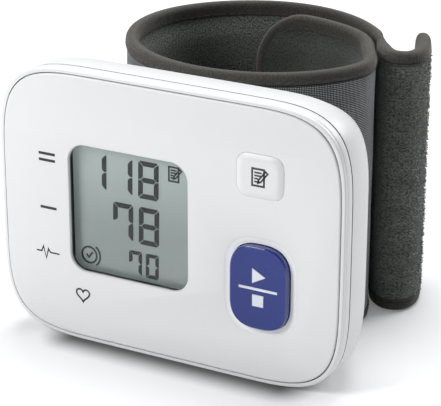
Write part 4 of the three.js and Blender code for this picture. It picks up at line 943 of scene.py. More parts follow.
def digit(marks, shown, x0, z0, width, height, stroke, lean=0.02):
    """One seven-segment digit, from its lower left corner, its segments parted by thin mitres"""
    gap, cut, half = stroke * 0.1, stroke * 0.35, stroke / 2
    mid = height / 2
    flat = [(gap + cut / 2, height - cut / 2), (gap + cut, height), (width - gap - cut, height),
            (width - gap - cut / 2, height - cut / 2), (width - gap - stroke, height - stroke),
            (gap + stroke, height - stroke)]
    upright = [(cut / 2, height - gap - cut / 2), (0, height - gap - cut), (0, mid + gap), (half, mid + gap),
               (stroke, mid + half + gap), (stroke, height - gap - stroke)]
    across = [(half + gap, mid), (stroke + gap, mid + half), (width - stroke - gap, mid + half),
              (width - half - gap, mid), (width - stroke - gap, mid - half), (stroke + gap, mid - half)]
    shapes = {
        "a": flat, "d": [(x, height - z) for x, z in flat], "g": across,
        "f": upright, "b": [(width - x, z) for x, z in upright],
        "e": [(x, height - z) for x, z in upright], "c": [(width - x, height - z) for x, z in upright]}
    for segment in shown:
        marks.polygon([(x0 + x + z * lean, z0 + z) for x, z in shapes[segment]])


def notebook(marks, left, low, tall):
    """A ruled page with a pencil laid over its right side"""
    wide = 0.74 * tall
    line = 0.12 * tall
    page = [(0, 0), (wide, 0), (wide, tall), (0, tall)]
    marks.line([(left + x, low + z) for x, z in page], line, closed=True)
    for share in (0.24, 0.42, 0.6, 0.78):
        z = low + share * tall
        marks.line([(left + 0.18 * wide, z), (left + (0.5 if share < 0.5 else 0.8) * wide, z)], line * 0.85)
    foot = np.array([left + 0.62 * wide, low + 0.3 * tall])
    head = np.array([left + 1.22 * wide, low + 0.86 * tall])
    way = (head - foot) / np.linalg.norm(head - foot)
    side = np.array([-way[1], way[0]]) * 0.085 * tall
    nib = foot - way * 0.16 * tall
    pencil = [nib, foot - side, head - side, head + side, foot + side]
    marks.line(pencil, line * 0.85, closed=True)
    marks.polygon([tuple(nib), tuple(foot - side), tuple(foot + side)])


# Rows of digits: the text, each digit's left side, how far up, width, height and stroke, all in millimetres
DIGIT_ROWS = (
    ("118", (-21.2, -14.65, -8.15), 4.45, 5.05, 8.65, 1.15),
    ("78", (-14.65, -8.15), -6.3, 5.05, 8.75, 1.15),
    ("70", (-10.75, -6.5), -14.0, 3.25, 5.8, 0.85))
DIGIT_FRONT, DIGIT_BACK = -4.99 * MM, -4.92 * MM
# The round sign with a tick, and the arc beside it
ROUND_X, ROUND_UP, ROUND_RADIUS, ROUND_LINE = -20.95 * MM, -11.5 * MM, 1.9 * MM, 0.42 * MM
TICK = ((-0.75, 0.1), (-0.15, -0.6), (0.9, 0.8))
ARC_RADIUS, ARC_HALF = 2.8 * MM, 0.9
# Signs on the face, in millimetres from the middle
BARS = ((10.8, 2), (-1.1, 1))  # how far up a group of bars is, and how many it has
BAR_LEFT, BAR_RIGHT, BAR_STEP, BAR_LINE = -31.8 * MM, -27.6 * MM, 1.5, 0.62 * MM
TRACE = ((-33.2, -11.8), (-31.9, -11.8), (-31.4, -10.6), (-30.7, -13.3), (-30.1, -11.0), (-29.6, -11.8),
         (-27.2, -11.8))
TRACE_LINE, HEART_LINE = 0.34 * MM, 0.4 * MM
# Signs on the blue button, in millimetres from its middle
START_SIGNS = (
    ((-1.35, 1.1), (-1.35, 4.5), (1.75, 2.8)),
    ((-4.5, 0.1), (-4.5, -0.45), (4.5, -0.45), (4.5, 0.1)),
    ((-1.3, -4.1), (-1.3, -1.5), (1.3, -1.5), (1.3, -4.1)))
INK = 0.02 * MM  # how far a printed sign stands out


def make_digits(case, material):
    """Three rows of plain numbers and three small signs on the liquid crystal glass"""
    marks = Marks(DIGIT_FRONT, DIGIT_BACK)
    middle = case.height / 2
    for text, lefts, low, width, height, stroke in DIGIT_ROWS:
        for sign, left in zip(text, lefts):
            digit(marks, SEGMENTS[sign], left * MM, middle + low * MM, width * MM, height * MM, stroke * MM)
    x, z = ROUND_X, middle + ROUND_UP
    turn = np.linspace(0, 2 * np.pi, 28, endpoint=False)
    arc = np.linspace(-ARC_HALF, ARC_HALF, 11)
    for angles, radius, closed in ((turn, ROUND_RADIUS, True), (arc, ARC_RADIUS, False)):
        marks.line([(x + radius * math.cos(a), z + radius * math.sin(a)) for a in angles], ROUND_LINE, closed)
    marks.line([(x + across * MM, z + up * MM) for across, up in TICK], ROUND_LINE)
    notebook(marks, -0.45 * MM, middle + 9.8 * MM, 3.2 * MM)
    return marks.build("display_digits", material)


def heart(x, z, size):
    """Corners of a heart"""
    turn = np.linspace(0, 2 * np.pi, 36, endpoint=False)
    wide = 16 * np.sin(turn) ** 3
    tall = 13 * np.cos(turn) - 5 * np.cos(2 * turn) - 2 * np.cos(3 * turn) - np.cos(4 * turn)
    return [(x + size * a / 32, z + size * b / 32) for a, b in zip(wide, tall)]


def make_face_print(case, material):
    """Small generic signs beside the window: bars for the two pressures, a trace and a heart for the pulse"""
    front = -case.plate_front
    marks = Marks(front - INK, front + INK)
    middle = case.height / 2
    for low, count in BARS:
        for i in range(count):
            z = middle + (low + BAR_STEP * (count - 1) / 2 - BAR_STEP * i) * MM
            marks.line([(BAR_LEFT, z), (BAR_RIGHT, z)], BAR_LINE)
    marks.line([(x * MM, middle + z * MM) for x, z in TRACE], TRACE_LINE)
    marks.line(heart(-21.3 * MM, middle - 20.3 * MM, 3.4 * MM), HEART_LINE, closed=True)
    return marks.build("face_print", material)


def make_memory_print(case, buttons, material):
    """A notebook and a pencil on the memory button"""
    x, z = memory_place(case, buttons)
    nose = -case.plate_front - buttons.memory_proud
    marks = Marks(nose - INK, nose + 0.14 * MM)
    notebook(marks, x - 1.55 * MM, z - 1.9 * MM, 3.7 * MM)
    return marks.build("memory_print", material)


def make_start_print(case, buttons, material):
    """A triangle over a bar over a square: go and stop"""
    x, z = start_place(case, buttons)
    nose = -case.plate_front - buttons.start_proud
    marks = Marks(nose - INK, nose + 0.3 * MM)
    for corners in START_SIGNS:
        marks.polygon([(x + across * MM, z + up * MM) for across, up in corners])
    return marks.build("start_print", material)


# The rolled cuff
def edge_at(length, corner, margin):
    """How far up a strip's edge starts beside its rounded end"""
    radius = corner - margin
    across = corner - length
    low = corner - np.sqrt(np.maximum(radius ** 2 - across ** 2, 0))
    return np.where(across <= 0, margin, low)


def mapped(obj, pairs):
    """Gives a mesh a map in metres: one pair for each vertex"""
    uv = obj.data.uv_layers.new(name=STRIP_MAP)
    corners = np.empty(len(obj.data.loops), dtype=np.int32)
    obj.data.loops.foreach_get("vertex_index", corners)
    uv.data.foreach_set("uv", np.asarray(pairs, dtype=np.float32)[corners].ravel())
    return obj


def strip_layer(name, plan, lengths, depth0, depth1, low, high, rows, material, push=None):
    """A closed layer of a strip: an outer and an inner skin of many rows, and the edges between"""
    lengths = np.asarray(lengths)
    place, _, inward = plan.at(lengths)
    z = low[:, None] + (high - low)[:, None] * np.linspace(0, 1, rows)
    depths = np.concatenate([np.full(rows, depth0), np.full(rows, depth1)])
    heights = np.concatenate([z, z[:, ::-1]], axis=1)
    along = np.repeat(lengths[:, None], 2 * rows, axis=1)
    depth = np.repeat(depths[None], len(lengths), axis=0)
    if push is not None:
        depth = depth + push(along, heights, depth)
    points = place[:, None, :] + inward[:, None, :] * depth[..., None]
    rings = np.concatenate([points, heights[..., None]], axis=2)
    obj = mesh_object(name, rings.reshape(-1, 3), ring_faces(2 * rows, len(lengths)), material)
    mapped(obj, np.stack([along.ravel(), heights.ravel()], axis=1))
    return outward(obj, merge=False)


def soft_waves(seed, count, low, high):
    """A smooth, repeatable unevenness of a surface, from a few waves"""
    source = np.random.default_rng(seed)
    pitch = source.uniform(low, high, (count, 2)) * source.choice([-1, 1], (count, 2))
    phase = source.uniform(0, 2 * np.pi, count)

    def at(u, v):
        total = np.zeros_like(u)
        for (a, b), p in zip(pitch, phase):
            total += np.sin(u * a + v * b + p)
        return total / count

    return at


def edge_stations(plan, cuff, corner, count, turns=22):
    """Places along a strip's top edge, round its rounded end and back along its bottom edge"""
    height = cuff.height
    straight = np.linspace(plan.total, corner, count, endpoint=False)
    rows = [(length, height, 0.0, -1.0) for length in straight]
    for i in range(turns + 1):
        turn = i / turns * math.pi / 2
        rows.append((corner - corner * math.sin(turn), height - corner + corner * math.cos(turn),
                     math.sin(turn), -math.cos(turn)))
    upper = np.array(rows)
    lower = upper[::-1].copy()
    lower[:, 1] = height - lower[:, 1]
    lower[:, 3] *= -1
    return np.concatenate([upper, lower])


def tape_section(depth0, depth1, width0, width1, thick):
    """A folded tape seen from its end: depth and width of each point round it"""
    middle = (depth0 + depth1) / 2
    half = (depth1 - depth0) / 2
    radius = min(half, 2.0 * MM)
    shares = (0.82, 0.68, 0.54)
    points = [(depth0 + 0.25 * thick, width0), (depth0, width0 - 0.35 * thick)]
    points += [(depth0, width0 * share) for share in shares if width0 * share > radius]
    for turn in np.linspace(0, math.pi, 15):
        c, s = math.cos(turn), math.sin(turn)
        flat = math.copysign(abs(c) ** 0.72, c)
        points.append((middle - half * flat, radius * (1 - abs(s) ** 0.8)))
    points += [(depth1, width1 * share) for share in shares[::-1] if width1 * share > radius]
    points += [(depth1, width1 - 0.35 * thick), (depth1 - 0.25 * thick, width1)]
    core = (half - thick) * 0.6
    inner = [(depth1 - thick, width1), (depth1 - thick, width1 * 0.5), (middle + core, thick * 1.2)]
    inner += [(middle - core, thick * 1.2), (depth0 + thick, width0 * 0.5), (depth0 + thick, width0)]
    return np.array(points + inner)


TAPE_THICKNESS = 0.28 * MM
# Unevenness of a tape: number of waves, lowest and highest turn for each metre
TAPE_PUCKERS, TAPE_WAVER = (9, 500, 2400), (7, 120, 420)


def make_tape(name, plan, cuff, corner, depths, heights, count, material, seed):
    """Edge tape folded over a strip: its two depths and how far it reaches down on each side"""
    section = tape_section(*depths, *heights, TAPE_THICKNESS)
    widths = section[:, 1]
    reach = np.where(section[:, 0] > sum(depths) / 2, heights[1], heights[0])
    share = np.clip(widths / reach, 0, 1)
    out = np.sign(section[:, 0] - sum(depths) / 2)
    round_section = np.cumsum(np.r_[0, np.hypot(*np.diff(section, axis=0).T)])
    uneven = soft_waves(seed, *TAPE_PUCKERS)
    waver = soft_waves(seed + 1, *TAPE_WAVER)
    rings, pairs = [], []
    run = 0.0
    before = None
    for length, z, in_length, in_z in edge_stations(plan, cuff, corner, count):
        run += 0.0 if before is None else math.hypot(length - before[0], z - before[1])
        before = (length, z)
        pucker = 0.05 * MM * uneven(np.full(len(section), run), widths) * np.sin(np.pi * share)
        wander = 0.10 * MM * float(waver(np.array(run), np.array(0.0)))
        wide = widths + wander * (share > 0.9)
        place, _, inward = plan.at(length + wide * in_length)
        flat = place + inward * (section[:, 0] + out * (pucker - 0.02 * MM))[:, None]
        rings.append(np.column_stack([flat, z + wide * in_z]))
        pairs.append(np.column_stack([np.full(len(section), run), round_section]))
    rings = np.array(rings)
    obj = mesh_object(name, rings.reshape(-1, 3), ring_faces(rings.shape[1], rings.shape[0]), material)
    mapped(obj, np.concatenate(pairs))
    return smooth(outward(obj, merge=False), math.radians(50))


CLOTH_MARGIN = 2.2 * MM  # how far a cloth's edge stays inside the tape's
# Unevenness of each cloth: seed, number of waves, lowest and highest turn for each metre
OUTER_WAVES, OUTER_RIPPLES, LINING_WAVES, TAIL_WAVES = (
    (11, 9, 90, 360), (12, 9, 500, 1500), (21, 9, 80, 300), (31, 11, 180, 900))
BLADDER_INSET, BLADDER_FROM, BLADDER_TO = 9.8 * MM, -10, -225
BLADDER_OUT, BLADDER_IN, BLADDER_ROWS = 2.1 * MM, 3.0 * MM, 200
CLOTH_SHARP = math.radians(60)
WAVE_HEIGHT, TAIL_WAVE_HEIGHT, RIPPLE_HEIGHT = 0.10 * MM, 0.14 * MM, 0.05 * MM
RIPPLE_PLACE, RIPPLE_WIDTH = 1.6 * MM, 1.2 * MM  # from the edge tape, and how wide
SKIN = 0.06 * MM  # how far the outer cloth's face lies inside its full thickness
LINING_DRAWN = 4.5 * MM  # from the edge tape, over which the lining is drawn in
PINCH_DEPTH, PINCH_WIDTH = 0.3 * MM, 1.2 * MM  # of the bladder's welded edge


def strip_lengths(plan, corner, margin, turns, count, end=0.0):
    """Lengths along a strip, closer round its rounded end, with how far up its edge starts at each"""
    lengths = np.concatenate([
        np.linspace(margin, corner, turns, endpoint=False), np.linspace(corner, plan.total - end, count)])
    return lengths, edge_at(lengths, corner, margin)


def make_outer_cloth(cuff, material):
    """The outer cloth, slightly uneven, with a row of ripples beside the edge tape"""
    plan = strip_plan(cuff)
    lengths, low = strip_lengths(plan, cuff.flap_corner, CLOTH_MARGIN, 24, 520)
    waves, ripples = soft_waves(*OUTER_WAVES), soft_waves(*OUTER_RIPPLES)

    def push(along, heights, depth):
        edge = np.minimum(heights, cuff.height - heights)
        near = np.exp(-((edge - cuff.binding - RIPPLE_PLACE) / RIPPLE_WIDTH) ** 2)
        rise = WAVE_HEIGHT * waves(along, heights) + near * RIPPLE_HEIGHT * ripples(along, heights)
        return np.where(depth < cuff.cloth / 2, SKIN - rise.clip(-SKIN, None), 0)

    return smooth(strip_layer(
        "cuff_outer_smooth", plan, lengths, 0.0, cuff.cloth, low, cuff.height - low, 40, material, push),
        CLOTH_SHARP)


def make_lining(cuff, material):
    """The lining, slightly uneven and drawn in towards the edge tape"""
    plan = strip_plan(cuff)
    lengths, low = strip_lengths(plan, cuff.flap_corner, CLOTH_MARGIN, 24, 420)
    waves = soft_waves(*LINING_WAVES)

    def push(along, heights, depth):
        middle = cuff.thickness - cuff.cloth / 2
        edge = np.minimum(heights, cuff.height - heights)
        drawn = cuff.drawn * (1 - ease(edge, cuff.binding_inside, cuff.binding_inside + LINING_DRAWN))
        return np.where(depth > middle, 0.05 * MM + WAVE_HEIGHT * waves(along, heights), 0.0) - drawn

    return smooth(strip_layer(
        "cuff_lining_smooth", plan, lengths, cuff.thickness - cuff.cloth, cuff.thickness - 0.05 * MM,
        low, cuff.height - low, 34, material, push), CLOTH_SHARP)


def make_bladder(cuff, material):
    """The flat air bladder between the cloths, pinched along its welded edge"""
    plan = strip_plan(cuff)
    turn = np.linspace(STRIP_FROM, STRIP_TO, STRIP_POINTS)
    start, end = (np.interp(-angle, -turn, plan.lengths[:STRIP_POINTS]) for angle in (BLADDER_FROM, BLADDER_TO))
    lengths = np.linspace(start, end, BLADDER_ROWS)
    low = np.full(BLADDER_ROWS, BLADDER_INSET)

    def push(along, heights, depth):
        ends = np.minimum(along - start, end - along)
        sides = np.minimum(heights - BLADDER_INSET, cuff.height - BLADDER_INSET - heights)
        pinch = PINCH_DEPTH * np.exp(-np.minimum(ends, sides) / PINCH_WIDTH)
        return np.where(depth > (BLADDER_OUT + BLADDER_IN) / 2, -pinch, pinch)

    return smooth(strip_layer(
        "air_bladder_smooth", plan, lengths, BLADDER_OUT, BLADDER_IN, low, cuff.height - low, 24, material, push))


# Stitches and loops of yarn, repeated by Geometry Nodes
def geometry_tree(name, inputs, rows, shown, material):
    """A node tree: each row is a node's name, kind, choices and inputs; a pair names an earlier node's output"""
    tree = bpy.data.node_groups.new(name, "GeometryNodeTree")
    interface = tree.interface
    interface.new_socket("Geometry", in_out="INPUT", socket_type="NodeSocketGeometry")
    for label, kind in inputs:
        interface.new_socket(label, in_out="INPUT", socket_type="NodeSocket" + kind)
    interface.new_socket("Geometry", in_out="OUTPUT", socket_type="NodeSocketGeometry")
    made = {"in": tree.nodes.new("NodeGroupInput")}
    last = ("last", "GeometryNodeSetMaterial", {}, {"Material": material, "Geometry": shown})
    for label, kind, choices, feeds in (*rows, last):
        node = made[label] = tree.nodes.new(kind)
        for key, value in choices.items():
            setattr(node, key, value)
        for key, value in feeds.items():
            if isinstance(value, tuple) and value[0] in made:
                tree.links.new(made[value[0]].outputs[value[1]], node.inputs[key])
            else:
                node.inputs[key].default_value = value
    tree.links.new(made["last"].outputs["Geometry"], tree.nodes.new("NodeGroupOutput").inputs["Geometry"])
    return tree


def stitch_tree(material):
    """Slightly uneven threads along a line"""
    floats = [(label, "Float") for label in ("Pitch", "Length", "Thread", "Slant")]
    return geometry_tree("stitch_row", [*floats, ("Seed", "Int")], (
        ("curve", "GeometryNodeMeshToCurve", {}, {"Mesh": ("in", "Geometry")}),
        ("points", "GeometryNodeCurveToPoints", {"mode": "LENGTH"}, {
            "Curve": ("curve", "Curve"), "Length": ("in", "Pitch")}),
        ("thread", "GeometryNodeMeshUVSphere", {}, {"Segments": 8, "Rings": 6, "Radius": 0.5}),
        ("sizes", "ShaderNodeCombineXYZ", {}, {
            "X": ("in", "Thread"), "Y": ("in", "Thread"), "Z": ("in", "Length")}),
        ("uneven", "FunctionNodeRandomValue", {"data_type": "FLOAT_VECTOR"}, {
            0: (0.9, 0.9, 0.85), 1: (1.1, 1.1, 1.1), "Seed": ("in", "Seed")}),
        ("scaled", "ShaderNodeVectorMath", {"operation": "MULTIPLY"}, {0: ("sizes", 0), 1: ("uneven", 0)}),
        ("slant", "ShaderNodeCombineXYZ", {}, {"X": ("in", "Slant")}),
        ("lean", "FunctionNodeEulerToRotation", {}, {0: ("slant", 0)}),
        ("turned", "FunctionNodeRotateRotation", {"rotation_space": "LOCAL"}, {
            "Rotation": ("points", "Rotation"), "Rotate By": ("lean", 0)}),
        ("spread", "GeometryNodeInstanceOnPoints", {}, {
            "Points": ("points", "Points"), "Instance": ("thread", "Mesh"), "Rotation": ("turned", 0),
            "Scale": ("scaled", 0)}),
        ("real", "GeometryNodeRealizeInstances", {}, {"Geometry": ("spread", "Instances")}),
        ("shaded", "GeometryNodeSetShadeSmooth", {}, {"Geometry": ("real", "Geometry")}),
    ), ("shaded", "Geometry"), material)


def loop_tree(material):
    """Small loops of yarn strewn over a surface"""
    floats = [(label, "Float") for label in ("Density", "Loop", "Yarn")]
    return geometry_tree("loop_pile", [*floats, ("Seed", "Int")], (
        ("strewn", "GeometryNodeDistributePointsOnFaces", {"distribute_method": "RANDOM"}, {
            "Mesh": ("in", "Geometry"), "Density": ("in", "Density"), "Seed": ("in", "Seed")}),
        ("arc", "GeometryNodeCurveArc", {"mode": "RADIUS"}, {
            "Resolution": 6, "Radius": 0.5, "Start Angle": 0.0, "Sweep Angle": math.pi * 1.15}),
        ("upright", "GeometryNodeTransform", {}, {
            "Rotation": (math.pi / 2, 0.0, 0.0), "Geometry": ("arc", "Curve")}),
        ("thin", "ShaderNodeMath", {"operation": "DIVIDE"}, {0: ("in", "Yarn"), 1: ("in", "Loop")}),
        ("profile", "GeometryNodeCurvePrimitiveCircle", {"mode": "RADIUS"}, {
            "Resolution": 3, "Radius": ("thin", 0)}),
        ("tube", "GeometryNodeCurveToMesh", {}, {
            "Curve": ("upright", "Geometry"), "Profile Curve": ("profile", "Curve"), "Fill Caps": True}),
        ("turn", "FunctionNodeRandomValue", {"data_type": "FLOAT_VECTOR"}, {
            0: (-0.7, -0.7, 0.0), 1: (0.7, 0.7, math.tau), "Seed": ("in", "Seed")}),
        ("spin", "FunctionNodeEulerToRotation", {}, {0: ("turn", 0)}),
        ("facing", "FunctionNodeRotateRotation", {"rotation_space": "LOCAL"}, {
            "Rotation": ("strewn", "Rotation"), "Rotate By": ("spin", 0)}),
        ("size", "FunctionNodeRandomValue", {"data_type": "FLOAT"}, {2: 0.6, 3: 1.3, "Seed": ("in", "Seed")}),
        ("scaled", "ShaderNodeMath", {"operation": "MULTIPLY"}, {0: ("size", 1), 1: ("in", "Loop")}),
        ("spread", "GeometryNodeInstanceOnPoints", {}, {
            "Points": ("strewn", "Points"), "Instance": ("tube", "Mesh"), "Rotation": ("facing", 0),
            "Scale": ("scaled", 0)}),
        ("real", "GeometryNodeRealizeInstances", {}, {"Geometry": ("spread", "Instances")}),
    ), ("real", "Geometry"), material)


def run_nodes(obj, tree, **values):
    """Evaluates a node tree on an object with inputs set by name, and keeps the plain mesh"""
    modifier = obj.modifiers.new("nodes", "NODES")
    modifier.node_group = tree
    for item in tree.interface.items_tree:
        if item.item_type == "SOCKET" and item.in_out == "INPUT" and item.name in values:
            modifier[item.identifier] = values[item.name]
    obj.update_tag()
    bpy.context.view_layer.update()
    return flattened(obj)


def line_object(name, points):
    """A line of edges through points"""
    mesh = bpy.data.meshes.new(name)
    mesh.from_pydata(points, [(i, i + 1) for i in range(len(points) - 1)], [])
    obj = bpy.data.objects.new(name, mesh)
    bpy.context.scene.collection.objects.link(obj)
    return obj


def stitch_line(plan, cuff, corner, depth, width, count):
    """Points of a stitched line that runs inside a strip's edge"""
    points = []
    for length, z, in_length, in_z in edge_stations(plan, cuff, corner, count):
        place, _, inward = plan.at(np.array([length + width * in_length]))
        points.append((*(place[0] + inward[0] * depth), z + width * in_z))
    return points


STITCH_PITCH, STITCH_LENGTH, THREAD_WIDTH, STITCH_SLANT = 2.1 * MM, 1.5 * MM, 0.17 * MM, 0.12
STITCH_LIFT = 0.02 * MM  # how far a stitch's middle lies over the tape
STITCH_INSET, TAIL_STITCH_INSET = 0.6 * MM, 0.5 * MM  # from the tape's lower edge


def stitched(name, lines, material, seed):
    """One mesh with a row of stitches along each line"""
    rows = []
    for i, points in enumerate(lines):
        row = line_object(name if i == 0 else name + "_%d" % i, points)
        rows.append(run_nodes(
            row, stitch_tree(material), Pitch=STITCH_PITCH, Length=STITCH_LENGTH, Thread=THREAD_WIDTH,
            Slant=STITCH_SLANT, Seed=seed + i))
    first = rows[0]
    work = bmesh.new()
    for row in rows:
        work.from_mesh(row.data)
    work.to_mesh(first.data)
    work.free()
    for row in rows[1:]:
        bpy.data.objects.remove(row, do_unlink=True)
    first.data.materials.clear()
    first.data.materials.append(material)
    first.data.polygons.foreach_set("material_index", [0] * len(first.data.polygons))
    return first


# The pull tail
def make_tail_cloth(cuff, material):
    """The pull tail's cloth, slightly uneven on both sides"""
    plan = tail_plan(cuff)
    lengths, low = strip_lengths(plan, cuff.tail_corner, CLOTH_MARGIN, 20, 150)
    waves = soft_waves(*TAIL_WAVES)
    half = cuff.tail_thickness / 2

    def push(along, heights, depth):
        return np.sign(depth) * TAIL_WAVE_HEIGHT * waves(along, heights) - np.sign(depth) * 0.05 * MM

    return smooth(strip_layer(
        "pull_tail_smooth", plan, lengths, -half, half, low, cuff.height - low, 60, material, push), CLOTH_SHARP)


PILE_ROWS, PILE_END = 24, 14 * MM  # the pile stops short of the tail's root
PILE_DENSITY, LOOP_HEIGHT, YARN_WIDTH = 1.7e6, 1.1 * MM, 0.085 * MM


def make_pile(cuff, material):
    """Loops of yarn over the pull tail's outer side, inside its edge tape"""
    plan = tail_plan(cuff)
    lengths, low = strip_lengths(plan, cuff.tail_corner, cuff.tail_binding - 0.2 * MM, 12, 60, PILE_END)
    place, _, inward = plan.at(lengths)
    z = low[:, None] + (cuff.height - 2 * low)[:, None] * np.linspace(0, 1, PILE_ROWS)
    side = place - inward * (cuff.tail_thickness / 2)
    points = np.concatenate([np.repeat(side[:, None], PILE_ROWS, axis=1), z[..., None]], axis=2).reshape(-1, 3)
    faces = [face[::-1] for face in ring_faces(PILE_ROWS, len(lengths), closed=False)]
    ground = mesh_object("pull_tail_pile", points, faces, material)
    return smooth(run_nodes(
        ground, loop_tree(material), Density=PILE_DENSITY, Loop=LOOP_HEIGHT, Yarn=YARN_WIDTH, Seed=5))


# Cloth materials
def edge_line(shader, height, inset, near, far):
    """1 on two level lines that far inside a strip's edges, and 0 beside them"""
    z = shader.place()[2]
    return 1 - ((z - height / 2).absolute() - (height / 2 - inset)).absolute().ramp(near, far)


def nap(shader, tone, roughness, sheen, sheen_roughness, tint, specular):
    """A cloth's surface under raking light"""
    shader.set(
        Base_Color=tone, Roughness=roughness, Sheen_Weight=sheen, Sheen_Roughness=sheen_roughness,
        Sheen_Tint=tint, Specular_IOR_Level=specular)


def woven(name, dark, light, pitch, slant, sheen, crease, height):
    """A fine diagonal mesh of light threads over a dark ground, drawn in along a crease by each edge, with painted
    shade in that crease
    """
    shader = Shader(name)
    u, v, place = shader.along()
    wobble = shader.noise(700, detail=2.0, vector=place) * 0.00016
    turn = math.tau / pitch
    one = ((u + v * slant + wobble) * turn).sine()
    two = ((u - v * slant + wobble) * turn).sine()
    mesh = (one * two) * 0.5 + 0.5
    fuzz = shader.noise(5200, detail=3.0, roughness=0.7, vector=place)
    patch = shader.noise(70, detail=4.0, roughness=0.6, vector=place)
    tone = shader.mix((mesh + fuzz * 0.35).ramp(0.72, 1.05), dark, light)
    wear_and_painted_light = shader.mix(patch.ramp(0.35, 0.75) * 0.35, tone, times(dark, 0.7))
    # Painted shade in the crease by each edge
    seam = edge_line(shader, height, crease, 0.1 * MM, 0.36 * MM)
    wear_and_painted_light = shader.mix(seam, wear_and_painted_light, times(dark, 0.35))
    nap(shader, wear_and_painted_light, 0.85 - mesh * 0.12, sheen, 0.42, (0.9, 0.91, 0.93), 0.28)
    return shader.bump(mesh * 0.7 + fuzz * 0.5 - seam * 2, 0.6, 0.00022).material


def felt(name, dark, light, curl=0.0, painted_light_span=None):
    """A brushed, speckled cloth, with painted light past the span's two lengths; with curl, a cloth of tiny loops
    """
    shader = Shader(name)
    u, v, place = shader.along()
    fibre = shader.noise(2200, detail=4.0, roughness=0.7, vector=place)
    speck = shader.noise(4200, detail=2.0, roughness=0.6, vector=place)
    brushed = shader.noise(160, detail=4.0, roughness=0.6, vector=shader.joined(u * 0.5, v * 1.7))
    loops = 1 - ((shader.noise(1300, detail=1.5, vector=place) - 0.5).absolute() * 9).clamped()
    share = fibre.ramp(0.36, 0.66) * (1 - curl) + loops * curl
    tone = shader.mix(share, dark, light)
    flecks = shader.mix(speck.ramp(0.56, 0.7) * 0.5, tone, times(light, 2.2))
    wear_and_painted_light = shader.mix(brushed.ramp(0.35, 0.7) * 0.35, flecks, times(dark, 0.6))
    # Painted light: a lit copy of the cloth past the span's two lengths
    if painted_light_span is not None:
        wear_and_painted_light = shader.mix(u.ramp(*painted_light_span), wear_and_painted_light, shader.mix(share, times(dark, 1.6), times(light, 2.4)))
    nap(shader, wear_and_painted_light, 0.9 + fibre * 0.08, 0.25, 0.5, (0.8, 0.84, 0.8), 0.15)
    return shader.bump(share * 0.7 + speck * 0.5, 0.8, 0.0004).material


WARP_PITCH, CROSS_PITCH = 0.52 * MM, 0.34 * MM


def tape_cloth(name, tone, crease=None, height=0.0):
    """Ribbed binding tape: fine ribs across its length, and painted shade along a sewn crease that far from the
    edges
    """
    shader = Shader(name)
    u, v, place = shader.along()
    ribs = (u * (math.tau / WARP_PITCH)).sine() * 0.5 + 0.5
    cross = (v * (math.tau / CROSS_PITCH)).sine() * 0.5 + 0.5
    weave = ribs * 0.6 + cross * 0.4
    fuzz = shader.noise(1900, detail=3.0, roughness=0.75, vector=place)
    patch = shader.noise(120, detail=3.0, vector=place)
    rubbed = weave * 0.25 + fuzz.ramp(0.3, 0.7) * 0.75
    base = shader.mix(rubbed, times(tone, 0.45), times(tone, 1.7))
    base = shader.mix(patch.ramp(0.35, 0.7) * 0.4, base, times(tone, 0.75))
    # Painted shade along the sewn crease
    if crease is not None:
        base = shader.mix(edge_line(shader, height, crease, 0.05 * MM, 0.22 * MM), base, times(tone, 0.25))
    nap(shader, base, 0.82 + fuzz * 0.1, 0.3, 0.45, (0.9, 0.86, 0.8), 0.2)
    return shader.bump(weave * 0.25 + fuzz * 0.8, 0.7, 0.0003).material


def yarn_loops(name, dark, light):
    """Yarn of the loop pile: darker at the foot of some loops, lighter on others"""
    shader = Shader(name)
    clump = shader.noise(1100, detail=2.0)
    fibre = shader.noise(4500, detail=3.0, roughness=0.7)
    tone = shader.mix(clump.ramp(0.45, 0.58) * 0.7 + fibre.ramp(0.35, 0.7) * 0.3, dark, light)
    nap(shader, tone, 0.8 + fibre * 0.12, 0.35, 0.4, (0.85, 0.85, 0.83), 0.2)
    return shader.bump(fibre, 0.4, 0.00008).material


def thread_yarn(name, tone):
    """Sewing thread, with the turns of its plies"""
    shader = Shader(name)
    x, y, z = shader.place()
    ply = ((x + y + z * 2) * 26000).sine() * 0.5 + 0.5
    fuzz = shader.noise(5000, detail=2.0)
    shader.set(
        Base_Color=shader.mix(ply * 0.6 + fuzz * 0.4, times(tone, 0.7), tone), Roughness=0.7 + fuzz * 0.15,
        Sheen_Weight=0.3, Sheen_Roughness=0.4)
    return shader.bump(ply, 0.3, 0.00004).material


# Stage: floor, backdrop, lights and camera
# A painted contact shadow on the floor along the case's front edge: its ends, its front line, how far it reaches
# and how dark it is
CONTACT_LEFT, CONTACT_RIGHT, CONTACT_FRONT, CONTACT_REACH = -24 * MM, 27.5 * MM, -7 * MM, 9 * MM
CONTACT_SHARE, FLOOR_GLOW = 0.89, 0.13
# The floor in metres: half its width, where it lies flat, the sweep's radius and the backdrop's top
FLOOR_HALF, FLOOR_FLAT, SWEEP, BACKDROP_TOP = 2.6, (-1.6, -0.8, 0.0, 0.7, 1.5), 0.6, 2.4
# Lamps: place in metres, width, power in watts and colour
LAMPS = {
    "key_lamp": ((-0.28, -0.36, 0.36), 0.26, 2.12, (1.0, 0.998, 0.99)),
    "top_lamp": ((-0.08, 0.34, 1.15), 0.8, 11.0, (1.0, 1.0, 1.0)),
    "fill_lamp": ((0.95, -0.7, 0.55), 0.8, 0.15, (0.97, 0.985, 1.0)),
    "back_lamp": ((0.5, 0.9, 0.7), 0.6, 5.5, (0.96, 0.98, 1.0)),
}
LAMP_AIM = Vector((0, 0.02, 0.03))
SKY_COLOUR, SKY_POWER = (0.95, 0.97, 1.0, 1), 0.16


